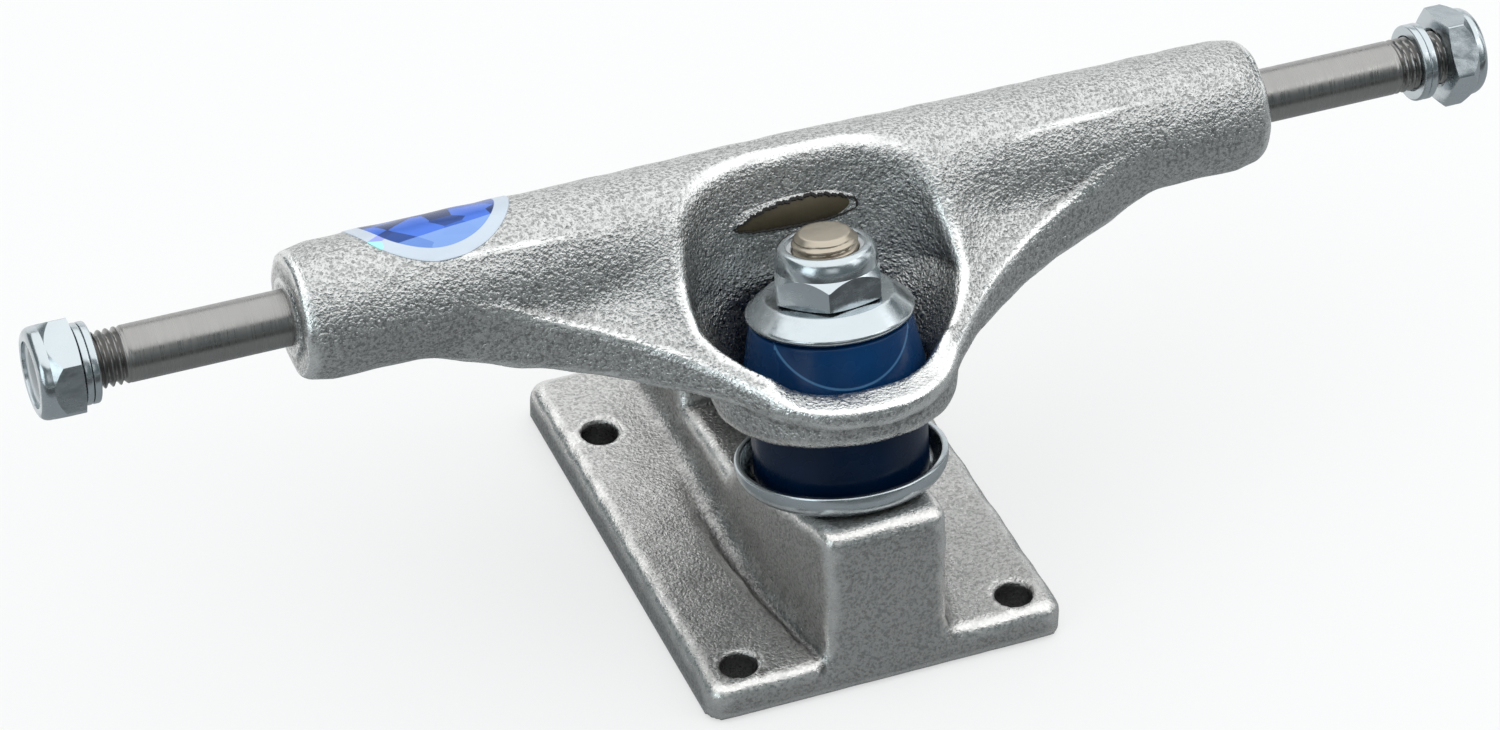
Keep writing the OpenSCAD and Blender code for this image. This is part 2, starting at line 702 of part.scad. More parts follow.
baseplate();
pivot_cup();
kingpin();
lower_cup_washer();
lower_bushing();
upper_bushing();
upper_cup_washer();
kingpin_nut();
kingpin_nut_insert();
hanger();
axle();
left_inner_washer();
left_outer_washer();
left_axle_nut();
left_nut_insert();
right_inner_washer();
right_outer_washer();
right_axle_nut();
right_nut_insert();
sticker();
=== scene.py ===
import math

import bpy
import numpy as np
from bpy.props import FloatProperty, FloatVectorProperty, PointerProperty
from mathutils import Matrix, Vector


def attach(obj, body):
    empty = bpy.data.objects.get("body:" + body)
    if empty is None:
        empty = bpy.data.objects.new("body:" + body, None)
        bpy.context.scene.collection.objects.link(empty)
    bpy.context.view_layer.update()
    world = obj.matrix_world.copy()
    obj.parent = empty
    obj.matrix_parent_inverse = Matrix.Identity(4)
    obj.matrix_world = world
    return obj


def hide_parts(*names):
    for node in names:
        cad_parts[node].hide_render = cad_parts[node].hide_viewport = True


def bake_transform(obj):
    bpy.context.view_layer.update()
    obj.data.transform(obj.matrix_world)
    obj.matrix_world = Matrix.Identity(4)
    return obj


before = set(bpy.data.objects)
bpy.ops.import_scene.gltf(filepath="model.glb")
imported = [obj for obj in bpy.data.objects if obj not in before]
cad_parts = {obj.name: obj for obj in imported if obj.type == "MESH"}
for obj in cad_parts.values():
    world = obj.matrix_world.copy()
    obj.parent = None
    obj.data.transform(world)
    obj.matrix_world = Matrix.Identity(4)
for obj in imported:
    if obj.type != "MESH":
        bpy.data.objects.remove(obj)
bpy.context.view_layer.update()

bl_info = {
    "name": "Skateboard truck",
    "version": (1, 0, 0),
    "blender": (4, 5, 0),
    "location": "View3D > Sidebar > Truck",
    "description": "Castings, threaded steel, bushings and a studio stage for a skateboard truck",
    "category": "Object",
}

MM = 0.001

# Sizes in millimetres and angles in radians. The main ones are those of the solids. A name that
# ends with _T is a height along the kingpin's axis, and one with _HALF half a length or width.
TILT = math.radians(14.25)
KINGPIN_Y = -19.2
SEAT_T = 22.6
CUP_FLOOR_T = 23.9
WEB_LOW_T = 37.0
WEB_TOP_T = 38.8
RING_LOW_T = 34.5
RING_TOP_T = 41.3
UPPER_WASHER_T = 49.5
NUT_T = 50.8
KINGPIN_TOP_T = 59.7
AXLE_Y = 9.9
AXLE_Z = 52.4
AXLE_HALF = 104.8
HANGER_HALF = 71.5
AXLE_R = 3.97
AXLE_THREAD_R = 3.9
AXLE_THREAD = 11.2
AXLE_CORE_R = 3.84
TUBE_R = 9.4
TUBE_HALF = 71.0
COLLAR_R = 5.6
RING_R = 17.2
RING_SEAT_R = 12.8
RING_HOLE_R = 6.6
BOWL_HALF = 13.3
PIVOT = (30.0, 16.0)
NOSE_R = 5.0
RING_MID_T = (WEB_LOW_T + WEB_TOP_T) / 2
RING_MID = (KINGPIN_Y + RING_MID_T * math.sin(TILT), RING_MID_T * math.cos(TILT))
LEAN = math.atan2(RING_MID[1] - PIVOT[1], PIVOT[0] - RING_MID[0])
LEAN_L = math.hypot(RING_MID[1] - PIVOT[1], PIVOT[0] - RING_MID[0])
WING_X = 54.0
WING_END = 58.0
SWEEP_Y = KINGPIN_Y + RING_TOP_T * math.sin(TILT)
SWEEP_H = AXLE_Y - TUBE_R - SWEEP_Y
SWEEP_R = (WING_X**2 + SWEEP_H**2 - RING_R**2) / (2 * (RING_R + SWEEP_H))
JOIN_X = WING_X * RING_R / (RING_R + SWEEP_R)
BASE_W = 53.2
BASE_FRONT = -31.9
BASE_BACK = 42.6
PAD_Z = 5.2
HOLE_X = 20.65
HOLE_Y = 27.0
HOLE_R = 2.65
CUP_BORE_R = 7.55
KINGPIN_HOLE_R = 4.8
KINGPIN_R = 4.7625
KINGPIN_THREAD_R = 4.66
KINGPIN_THREAD = 14.0
HEAD_HALF = 7.1
HEAD_LOW_T = 3.2
HEAD_TOP_T = 9.2
BORE_R = 5.0
LEFT_NUT_X = AXLE_HALF - 4.2
RIGHT_NUT_X = AXLE_HALF - 3.7
STICKER_X = -50.0
KINGPIN_AXIS = (0.0, math.sin(TILT), math.cos(TILT))
LEAN_AXIS = (0.0, -math.cos(LEAN), math.sin(LEAN))
# A lock nut's width across flats, hexagon height, fall of its corners, dome radius, height,
# mouth radius and bore radius.
KINGPIN_NUT = (14.29, 4.3, 1.1, 7.14, 7.2, 5.35, 4.75)
AXLE_NUT = (12.7, 4.2, 1.5, 6.34, 6.0, 4.5, 3.95)
# The window in the bowl's back wall: its rims as arcs at WINDOW_R round the axle, from the front.
WINDOW_R = 4.0
WINDOW_MID = 0.35
WINDOW_HALF = 8.95
WINDOW_X = [-9.4, -8.6, -5.5, -1.9, 2.7, 6.0, 8.8, 9.6]
WINDOW_TOP = [0.5, 0.8, 2.1, 2.9, 3.2, 2.6, 1.6, 0.6]
WINDOW_LOW = [0.5, 0.45, -0.5, -0.8, -1.1, -0.9, -0.2, 0.5]
# Where the pads' inner rims run beside the riser, from the front.
PAD_Y = [-31.9, -29.0, -24.5, -15.8, -5.4, 4.7, 15.4, 23.3, 32.0]
PAD_X = [9.0, 9.4, 10.6, 12.4, 13.5, 13.8, 12.6, 11.2, 10.4]

# The corners of the grids that the castings are skinned on.
HANGER_BOX = ((-73, -28.5, 7.5), (73, 39, 64))
BASE_BOX = ((-28, -33, -1.5), (28, 44, 33))

# Where the camera looks, in metres, and how far the picture is shifted, in parts of its width.
CAMERA_AIM = (0.0, 0.0, 0.03)
CAMERA_SHIFT = (-0.03771, 0.00626)
# Points round each steel shaft, and the mark of a point that is far from the pale arc of light painted on the
# upper bushing.
STEEL_COLUMNS = 120
FAR_FROM_ARC = 9.0


# Field tools


def soft_min(a, b, k):
    """The smaller of two distances, with a fillet: b + (a - b) h - k h (1 - h), where h runs
    from 0 to 1 as b - a runs from -k to k."""
    h = np.clip(0.5 + 0.5 * (b - a) / k, 0, 1)
    return b + (a - b) * h - k * h * (1 - h)


def soft_max(a, b, k):
    """The larger of two distances, with the edge between them rounded over k."""
    return -soft_min(-a, -b, k)


def kingpin_place(x, y, z):
    """Height along the kingpin, offset across it and distance from it:
    t = (y - y0) sin + z cos, s = (y - y0) cos - z sin, r = sqrt(x^2 + s^2)."""
    t = (y - KINGPIN_Y) * math.sin(TILT) + z * math.cos(TILT)
    s = (y - KINGPIN_Y) * math.cos(TILT) - z * math.sin(TILT)
    return t, s, np.hypot(x, s)


def lean_place(x, y, z):
    """Height h along the lean axis from the pivot centre, and distance from that axis."""
    h = -(y - PIVOT[0]) * math.cos(LEAN) + (z - PIVOT[1]) * math.sin(LEAN)
    s = (y - PIVOT[0]) * math.sin(LEAN) + (z - PIVOT[1]) * math.cos(LEAN)
    return h, np.hypot(x, s)


def cast_swell(x, y, z):
    """The slow unevenness of a sand-textured casting: a sum of sines 5 to 11 mm long."""
    return 0.03 * (np.sin(0.93 * x + 0.41 * y - 0.57 * z) + np.sin(0.37 * x - 1.07 * y + 0.71 * z + 1.3)
                   + np.sin(-0.61 * x + 0.53 * y + 1.19 * z + 2.1))


def polygon_distance(corners, u, v):
    """Signed distance to a closed polygon: the least distance to its sides, negative inside,
    where inside is an odd number of crossings of a ray along u."""
    shape = np.broadcast(u, v).shape
    nearest = np.full(shape, 1e9)
    inside = np.zeros(shape, bool)
    for (u0, v0), (u1, v1) in zip(corners, corners[1:] + corners[:1]):
        du, dv = u1 - u0, v1 - v0
        f = np.clip(((u - u0) * du + (v - v0) * dv) / (du * du + dv * dv), 0, 1)
        nearest = np.minimum(nearest, (u - u0 - f * du) ** 2 + (v - v0 - f * dv) ** 2)
        crosses = ((v0 > v) != (v1 > v)) & (u < du * (v - v0) / (dv if dv else 1e-9) + u0)
        inside ^= np.broadcast_to(crosses, shape)
    return np.where(inside, -1, 1) * np.sqrt(nearest)


# The two castings


def wing_edge_y(ax):
    """Front edge of the wing from above: the ring's circle, then an arc that touches it at
    JOIN_X and leaves the tube at WING_X, with a parabola that fades it into the tube."""
    ring = SWEEP_Y - np.sqrt(np.maximum(RING_R**2 - np.minimum(ax, RING_R - 0.01) ** 2, 0))
    d = np.maximum(WING_X - ax, 0)
    sweep = (AXLE_Y - TUBE_R - SWEEP_R + np.sqrt(np.maximum(SWEEP_R**2 - d**2, 0))
             + np.maximum(ax - WING_X + 12, 0) ** 2 / 50)
    return np.where(ax < JOIN_X, ring, sweep)


def wing_field(ax, y, z):
    """Distance to the wing: below a hollow quadratic curve from its front edge up to the tube,
    above a plane that touches the tube from below, and behind its front edge."""
    edge, inset = 1.0, 1.2
    touch = math.radians(55)
    low_r = 0.93 * TUBE_R
    back = wing_edge_y(ax)
    slope_x = (wing_edge_y(ax + 0.1) - wing_edge_y(ax - 0.1)) / 0.2
    # The heights of its front face's lower and upper edge, and how far that face leans.
    low = 41.0 + 0.13 * np.maximum(ax - 24, 0)
    top = 44.2 + 0.27 * np.maximum(ax - 12, 0)
    lean = np.maximum(1 - ax / 48, 0) * math.tan(TILT)
    front = (back - (top - z) * lean - y) / np.sqrt(1 + slope_x**2 + lean**2)
    # The curve's start (sy, top), its corner (cy, cz) and its end (fy, fz) on the tube.
    sy = np.minimum(back + inset, 3.4)
    fy = AXLE_Y - 0.97 * TUBE_R * math.cos(touch)
    fz = AXLE_Z + 0.97 * TUBE_R * math.sin(touch)
    hollow = 0.14 + 0.46 * np.clip((ax - 19) / 24, 0, 1)
    cy = (sy + fy) / 2 * (1 - hollow) + fy * hollow
    cz = (top + fz) / 2 * (1 - hollow) + top * hollow
    # The part f of the curve that lies behind a point, its height and its slope there.
    a, b = sy - 2 * cy + fy, 2 * (cy - sy)
    run = np.clip(y - sy, 0, fy - sy)
    f = 2 * run / (b + np.sqrt(np.maximum(b * b + 4 * a * run, 1e-9)))
    height = (1 - f) ** 2 * top + 2 * f * (1 - f) * cz + f * f * fz
    rise = ((cz - top) * (1 - f) + (fz - cz) * f) / ((cy - sy) * (1 - f) + (fy - cy) * f)
    over = (z - height) / np.sqrt(1 + rise**2) + 1.4 * np.clip((f - 0.7) / 0.3, 0, 1) ** 2
    foot = back - (top - low) * lean + inset
    under_rise = (AXLE_Z - low_r - low) / (AXLE_Y - foot)
    under = (low + under_rise * np.maximum(y - foot, 0) - z) / np.sqrt(1 + under_rise**2)
    wing = soft_max(soft_max(over, under, edge), front, edge)
    # It ends at the chord from the tube's lowest line to the curve's end.
    run_y, run_z = fy - AXLE_Y, fz - AXLE_Z + low_r
    chord = ((y - AXLE_Y) * run_z - (z - AXLE_Z + low_r) * run_y) / math.hypot(run_y, run_z)
    return soft_max(np.maximum(wing, chord), ax - WING_END, 3.0)


def rim_height(ax, s):
    """Height along the kingpin of the rim round the bowl's front: it falls a little outward,
    rises to 0.84 a millimetre along a hyperbola on its sides, and steeper further out and behind."""
    u = ax - 9.0 + 0.6 * np.minimum(s + 9, 0)
    return (RING_TOP_T + 0.35 + 0.42 * (u + np.sqrt(u * u + 8)) + 0.3 * np.maximum(ax - 14, 0) ** 2
            + 1.3 * np.maximum(s + 7, 0) - 0.25 * np.maximum(np.hypot(ax, s) - 13.2, 0))


def web_planes():
    """Outward directions spread evenly on a half ball, and how far the hull of the tube, the
    arm and the ring reaches along each."""
    count = 220
    i = np.arange(count) + 0.5
    up = 1 - 2 * i / count
    turn = i * math.pi * (1 + 5**0.5)
    flat = np.sqrt(1 - up * up)
    d = np.stack([np.abs(np.cos(turn)) * flat, np.sin(turn) * flat, up], 1)
    tube_half, tube_r = 24, 0.72 * TUBE_R
    tube = d[:, 0] * tube_half + d @ np.array([0, AXLE_Y, AXLE_Z]) + tube_r * np.hypot(d[:, 1], d[:, 2])
    arm_from, arm_to, arm_r = 7, LEAN_L - 8.6, 5.7
    along = d @ np.array(LEAN_AXIS)
    arm = (d @ np.array([0, *PIVOT]) + np.maximum(arm_from * along, arm_to * along)
           + arm_r * np.sqrt(np.maximum(1 - along**2, 0)))
    disc_from, disc_to, disc_r = 35.3, 38.7, 13.2
    along = d @ np.array(KINGPIN_AXIS)
    disc = (d @ np.array([0, KINGPIN_Y, 0]) + np.maximum(disc_from * along, disc_to * along)
            + disc_r * np.sqrt(np.maximum(1 - along**2, 0)))
    return d, np.maximum(np.maximum(tube, arm), disc)


def web_field(ax, y, z):
    """Distance to the web under the tube: a rounded largest of the distances to its planes,
    log(sum(exp(k d))) / k, worked out in the block round the web and far off elsewhere."""
    sharp, swell, far_off = 2.2, 0.45, 20.0
    shape = np.broadcast(ax, y, z).shape
    near = np.broadcast_to((ax < 30) & (y > -26) & (y < 38) & (z < 63), shape)
    u, v, w = (np.broadcast_to(c, shape)[near] for c in (ax, y, z))
    total = np.zeros(u.shape)
    for d, reach in zip(*web_planes()):
        total += np.exp(np.clip(sharp * (d[0] * u + d[1] * v + d[2] * w - reach), -60, 60))
    web = np.full(shape, far_off)
    web[near] = np.log(np.maximum(total, 1e-25)) / sharp - swell
    return web


def tube_field(ax, r_a):
    """Distance to the tube round the axle, which slims a little towards its rounded ends."""
    tube = r_a - (TUBE_R - 0.65 * np.clip((ax - 67) / 3.5, 0, 1))
    return soft_max(tube, ax - TUBE_HALF, 1.1)


def ring_field(t, r_k):
    """Distance to the ring round the kingpin, which slims a little downward."""
    slim = 0.8 * np.clip((RING_TOP_T - t) / 6.8, 0, 1)
    ring = soft_max(r_k - (RING_R - slim), t - RING_TOP_T, 0.6)
    return soft_max(ring, RING_LOW_T - t, 2.0)


def arm_field(h, r_l):
    """Distance to the pivot's round nose and to the arm behind it, which widens from its neck."""
    nose = np.where(h < 0, np.hypot(h, r_l) - NOSE_R, np.maximum(r_l - NOSE_R, h - 5.2))
    neck = 5.6 + 0.95 * np.clip((h - 5) / 2, 0, 1) + 0.2 * np.clip((h - 7) / 30, 0, 1)
    arm = soft_max(soft_max(r_l - neck, 5.0 - h, 0.6), h - 34, 1)
    return soft_min(nose, arm, 0.4)


def bowl_field(ax, t, s, r_k):
    """Distance to the bowl over the web: rounded ovals (x / a)^p + (s / b)^p = 1 round the
    kingpin, which grow wider and squarer upward."""
    grow = np.clip((t - WEB_TOP_T - 1.4) / 9.5, 0, 1)
    half_x, half_s = BOWL_HALF + 5.7 * grow, BOWL_HALF - 1.15 * grow
    power = 2 + 0.5 * grow
    g = ((ax / half_x) ** power + (np.abs(s) / half_s) ** power + 1e-9) ** (1 / power)
    return soft_max(r_k - r_k / g, WEB_TOP_T - t, 1.6)


def hanger_field(x, y, z):
    """Signed distance to the hanger in millimetres: tube, wing, ring, arm and web joined with
    fillets, less the bowl, whose back wall bares the axle, the bushing seat and the hole. Under
    its top the tube keeps to its radius, and a collar stands on each end face."""
    ax = np.abs(x)
    t, s, r_k = kingpin_place(x, y, z)
    h, r_l = lean_place(x, y, z)
    r_a = np.hypot(y - AXLE_Y, z - AXLE_Z)
    fade = np.clip((ax - 40) / 18, 0, 1)
    body = soft_min(tube_field(ax, r_a), wing_field(ax, y, z) + 0.7 * fade**2, 2.5 - 1.5 * fade)
    body = soft_min(body, ring_field(t, r_k), 1.0)
    body = soft_min(body, web_field(ax, y, z), 3.5)
    body = soft_min(body, arm_field(h, r_l), 2.5)
    body = soft_max(body, (t - rim_height(ax, s)) / 1.2, 0.6)
    body = soft_max(body, -bowl_field(ax, t, s, r_k), 0.6 + 1.6 * np.clip((t - 44) / 10, 0, 1))
    seat = soft_max(r_k - RING_SEAT_R, t - WEB_LOW_T, 0.6)
    body = soft_max(body, -seat, 0.9)
    hole = np.maximum(r_k - RING_HOLE_R, np.abs(t - 38) - 6)
    body = soft_max(body, -hole, 0.6)
    crown = r_a - TUBE_R - 0.06 - 2 * np.maximum(61.0 - z, 0)
    body = soft_max(body + cast_swell(x, y, z), crown, 0.1)
    collar = np.maximum(soft_max(r_a - COLLAR_R, ax - HANGER_HALF, 0.3), 66 - ax)
    return np.minimum(body, collar)


def spine_corners():
    """Side profile of the riser, saddle and pivot tower, as the solid has it, with the riser's
    front lip rolled over as a parabola."""
    seat_y = KINGPIN_Y + SEAT_T * math.sin(TILT)
    seat_z = SEAT_T * math.cos(TILT)

    def seat_plane(y):
        return seat_z - (y - seat_y) * math.tan(TILT)

    def lean_point(h, s):
        return (PIVOT[0] - h * math.cos(LEAN) + s * math.sin(LEAN),
                PIVOT[1] + h * math.sin(LEAN) + s * math.cos(LEAN))

    lip_run, saddle_z, tower_top, floor = 3.2, 12.6, 4, -6.0
    riser_top = BASE_FRONT + 2.6
    seat_end = seat_y + 13.45 * math.cos(TILT)
    tip = np.array([riser_top, seat_plane(riser_top)])
    down = np.array([BASE_FRONT, PAD_Z]) - tip
    along = np.array([seat_end, seat_plane(seat_end)]) - tip
    down *= lip_run / np.linalg.norm(down)
    along *= lip_run / np.linalg.norm(along)
    lip = [tuple(tip + (1 - f) ** 2 * down + f * f * along) for f in np.linspace(0, 1, 9)]
    return [(BASE_FRONT, floor), (BASE_FRONT, PAD_Z), *lip,
            (seat_end, seat_plane(seat_end)), (seat_end + 3.5, saddle_z), lean_point(tower_top, -8.95),
            lean_point(tower_top, 9.95), lean_point(-7, 9.35), (BASE_BACK - 0.6, 15.0), (BASE_BACK, PAD_Z),
            (BASE_BACK, floor)]


def base_field(x, y, z):
    """Signed distance to the baseplate in millimetres: a rounded slab with two raised pads, a
    riser and a tower joined to it with fillets, less the bolt holes, the kingpin's hole and
    hexagon, the cup's bore and the cored recess."""
    ax = np.abs(x)
    t, s, r_k = kingpin_place(x, y, z)
    h, r_l = lean_place(x, y, z)
    mid, half = (BASE_FRONT + BASE_BACK) / 2, (BASE_BACK - BASE_FRONT) / 2
    corner = 3
    qx, qy = ax - BASE_W / 2 + corner, np.abs(y - mid) - half + corner
    outline = np.hypot(np.maximum(qx, 0), np.maximum(qy, 0)) + np.minimum(np.maximum(qx, qy), 0) - corner
    width = np.interp(y, [BASE_FRONT, -13.64, 0.36, 20, BASE_BACK], [8.7, 10.7, 10.7, 10.0, 10.0])
    spine = soft_max(ax - width, polygon_distance(spine_corners(), y, z), 2.4)
    slab = z - (PAD_Z - 1.3 * np.clip((16 - y) / 24, 0, 1))
    land = np.interp(y, PAD_Y, PAD_X)
    pads = soft_max(z - PAD_Z, land - ax, 2.0)
    top = soft_min(soft_min(slab, spine, 4.0), pads, 0.5)
    body = soft_max(top, outline, 2.6) + cast_swell(x, y, z)
    body = np.maximum(np.maximum(body, outline), -z)
    hole = np.hypot(ax - HOLE_X, np.abs(y) - HOLE_Y) - HOLE_R
    body = soft_max(body, -hole, 0.5)
    slant = np.maximum(np.abs(0.866 * x + 0.5 * s), np.abs(0.866 * x - 0.5 * s))
    pocket = np.maximum(np.abs(s), slant) - HEAD_HALF - 0.09
    body = np.maximum(body, -np.maximum(pocket, t - HEAD_TOP_T))
    shaft = r_k - KINGPIN_HOLE_R - np.maximum(np.abs(t - 10) - 14, 0) * 4
    body = soft_max(body, -shaft, 0.3)
    bore = np.maximum(r_l - CUP_BORE_R, np.maximum(-7.5 - h, h - 5))
    body = soft_max(body, -bore, 0.4)
    core_x, core_mid, core_half, core_top = 6, 8.18, 9.82, 6.6
    core = np.maximum(np.maximum(ax - core_x, np.abs(y - core_mid) - core_half), z - core_top)
    return soft_max(body, -core, 0.6)


def edge_crossings(values, a):
    """The quads and places where the grid's edges along axis a cross the surface. A quad's
    corners are the four cells round its edge, in the order that turns it outward."""
    inside = values < 0
    b, c = (a + 1) % 3, (a + 2) % 3
    here = [slice(None)] * 3
    there = [slice(None)] * 3
    here[a], there[a] = slice(0, -1), slice(1, None)
    start = np.argwhere(inside[tuple(here)] != inside[tuple(there)])
    end = start.copy()
    end[:, a] += 1
    v0, v1 = values[tuple(start.T)], values[tuple(end.T)]
    at = start.astype(float)
    at[:, a] += v0 / (v0 - v1)
    corners = []
    for db, dc in ((0, 0), (-1, 0), (-1, -1), (0, -1)):
        cell_at = start.copy()
        cell_at[:, b] += db
        cell_at[:, c] += dc
        corners.append(np.ravel_multi_index(tuple(cell_at.T), values.shape))
    corners = np.stack(corners, 1)
    return np.where((v0 < 0)[:, None], corners, corners[:, ::-1]), at


def gathered(quads, vectors):
    """Adds up one vector of each quad at its four corners."""
    flat = quads.ravel()
    return np.stack([np.bincount(flat, np.repeat(vectors[:, k], 4)) for k in range(3)], 1)


def settled(field, spots, reach):
    """Points moved along the field's slope onto its surface, by reach at most in each round."""
    step, rounds = 0.02, 3
    for _ in range(rounds):
        f = field(*spots.T)
        slope = np.stack([(field(*(spots + step * e).T) - field(*(spots - step * e).T)) / (2 * step)
                          for e in np.eye(3)], 1)
        move = -f[:, None] * slope / np.maximum((slope**2).sum(1, keepdims=True), 0.2)
        size = np.linalg.norm(move, axis=1, keepdims=True)
        spots = spots + move * np.minimum(1, reach / np.maximum(size, 1e-9))
    return spots


def skin(field, low, high, cell):
    """Skins the surface where a field is 0 with quads, one corner in each grid cell that the
    surface crosses. A corner starts at the mean of the cell's crossings, and then settles onto
    the surface. All of it is whole-array work."""
    axes = [np.arange(a, b + cell, cell) for a, b in zip(low, high)]
    values = field(axes[0][:, None, None], axes[1][None, :, None], axes[2][None, None, :])
    cells, crossings = zip(*(edge_crossings(values, a) for a in range(3)))
    quads = np.unique(np.concatenate(cells), return_inverse=True)[1].reshape(-1, 4)
    spots = gathered(quads, np.concatenate(crossings)) / np.bincount(quads.ravel())[:, None]
    spots = spots * cell + np.array([axis[0] for axis in axes])
    return settled(field, spots, 0.35 * cell), quads


def bends(points, quads, passes=3):
    """How sharply a skin bends outward at each point, in bends a millimetre: the mean change
    of its normals along the edges that meet there, spread by a few rounds of averaging."""
    a, b, c, d = (points[quads[:, k]] for k in range(4))
    normal = np.cross(c - a, d - b)
    near, far = quads.ravel(), np.roll(quads, -1, 1).ravel()
    count = np.bincount(near)
    normals = gathered(quads, normal)
    normals /= np.maximum(np.linalg.norm(normals, axis=1, keepdims=True), 1e-9)
    run = points[far] - points[near]
    along = ((normals[far] - normals[near]) * run).sum(1) / np.maximum((run**2).sum(1), 1e-6)
    bend = np.bincount(near, along) / count
    for _ in range(passes):
        bend = (bend + np.bincount(near, bend[far]) / count) / 2
    return bend


def wear_and_shade(points, quads):
    """The two marks of a casting's skin: worn rims with a painted highlight, and painted shade in its sharp
    hollows.
    """
    bend = bends(points, quads)
    return {"worn": np.clip((bend - 0.11) / 0.13, 0, 1), "grime": np.clip((-bend - 0.09) / 0.2, 0, 1)}


# Turned pieces


def eased(corners, radius):
    """A closed profile whose corners are eased: each becomes a parabola that starts and ends
    at radius from the corner, or nearer on a short side."""
    p = np.asarray(corners, float)
    r = np.broadcast_to(np.asarray(radius, float), (len(p),))[:, None]
    before, after = np.roll(p, 1, 0) - p, np.roll(p, -1, 0) - p
    lb, la = np.linalg.norm(before, axis=1)[:, None], np.linalg.norm(after, axis=1)[:, None]
    start = p + before / lb * np.minimum(r, 0.45 * lb)
    end = p + after / la * np.minimum(r, 0.45 * la)
    f = np.linspace(0, 1, 6)[None, :, None]
    curve = (1 - f) ** 2 * start[:, None] + 2 * f * (1 - f) * p[:, None] + f * f * end[:, None]
    return curve.reshape(-1, 2)


def full_turn(columns):
    """Angles of a full turn, without the last one that meets the first."""
    return np.linspace(0, 2 * math.pi, columns, endpoint=False)


def wrap_faces(rows, columns, closed):
    """Quads of a grid that closes round its columns, and along its rows too when closed."""
    i = np.arange(rows if closed else rows - 1)[:, None]
    j = np.arange(columns)[None, :]
    i2, j2 = (i + 1) % rows, (j + 1) % columns
    corners = [i * columns + j, i * columns + j2, i2 * columns + j2, i2 * columns + j]
    return np.stack(corners, -1).reshape(-1, 4)


def outward(points, quads):
    """Points and quads of a closed surface, turned round if its volume comes out negative."""
    a, b, c, d = (points[quads[:, k]] for k in range(4))
    volume = (np.cross(b - a, c - a) * a).sum() + (np.cross(c - a, d - a) * a).sum()
    return points, quads if volume > 0 else quads[:, ::-1]


def turned(radius, height, origin, axis, columns=160, closed=True, start=(1.0, 0.0, 0.0)):
    """A surface round an axis: origin + h axis + r (cos a e1 + sin a e2), where r and h are
    rows along the profile, or a grid of rows by angle. An open profile gets one point at each
    end, on the axis."""
    a = full_turn(columns)
    r = np.asarray(radius, float)
    h = np.asarray(height, float)
    r = np.broadcast_to(r[:, None] if r.ndim == 1 else r, (len(r), columns))
    h = np.broadcast_to(h[:, None] if h.ndim == 1 else h, (len(h), columns))
    axis = np.array(Vector(axis).normalized())
    e1 = np.array(start) - np.dot(start, axis) * axis
    e1 /= np.linalg.norm(e1)
    e2 = np.cross(axis, e1)
    grid = (np.array(origin) + h[..., None] * axis
            + (r * np.cos(a))[..., None] * e1 + (r * np.sin(a))[..., None] * e2)
    rows = len(r)
    faces = wrap_faces(rows, columns, closed).tolist()
    points = grid.reshape(-1, 3)
    if not closed:
        ends = np.array(origin) + np.array([[h[0].mean()], [h[-1].mean()]]) * axis
        points = np.concatenate([points, ends])
        j = np.arange(columns)
        j2 = (j + 1) % columns
        first, last = rows * columns, rows * columns + 1
        faces += np.stack([np.full(columns, first), j2, j], 1).tolist()
        top = (rows - 1) * columns
        faces += np.stack([np.full(columns, last), top + j, top + j2], 1).tolist()
    return points, faces


def turned_section(section, origin, axis, columns=160, start=(1.0, 0.0, 0.0)):
    """A closed section of radius and height, turned round an axis."""
    return turned(section[:, 0], section[:, 1], origin, axis, columns, start=start)


def screw_radius(h, angle, crest, pitch, depth, start, end, fade=1.2):
    """Radius of a thread: crest less depth times a softened triangle wave of h / pitch minus
    the turn, fading in over one pitch at each end."""
    phase = (h / pitch - angle / (2 * math.pi)) % 1.0
    wave = np.clip(np.abs(2 * phase - 1) * 1.35 - 0.15, 0, 1)
    reach = np.clip(np.minimum(h - start, end - h) / fade, 0, 1)
    return crest - depth * wave * reach


def kingpin_point(t):
    """Point on the kingpin's axis at a height along it."""
    return np.array([0, KINGPIN_Y + t * math.sin(TILT), t * math.cos(TILT)])


def round_axle(x, radius, turn):
    """Points at a distance from the axle's axis and an angle round it from the front."""
    return np.stack([x, AXLE_Y - radius * np.cos(turn), AXLE_Z + radius * np.sin(turn)], -1)


def window_ring(section, columns=360):
    """A closed strip round the window: each corner of its section is an offset outward from
    the ragged edge, at the top and at the bottom, and a radius round the axle. Along the edge
    x = WINDOW_MID + WINDOW_HALF cos w, and the arc follows the upper or the lower rim, which
    wander by a sum of sines."""
    w = full_turn(columns)
    x = WINDOW_MID + WINDOW_HALF * np.cos(w)
    rag = 0.10 * np.sin(2.9 * x) + 0.09 * np.sin(6.3 * x + 1.1) + 0.07 * np.sin(12.7 * x + 2.3)
    rag *= np.minimum(1, 3 * np.abs(np.sin(w)))
    arc = np.where(np.sin(w) > 0, np.interp(x, WINDOW_X, WINDOW_TOP) + rag,
                   np.interp(x, WINDOW_X, WINDOW_LOW) - 0.5 * rag)
    upper = 0.5 + 0.5 * np.sin(w)
    rows = []
    for out_top, out_low, radius in section:
        out = out_low + (out_top - out_low) * upper
        rows.append(round_axle(x + out * np.cos(w), radius, (arc + out * np.sin(w)) / WINDOW_R))
    return outward(np.concatenate(rows), wrap_faces(len(rows), columns, True))


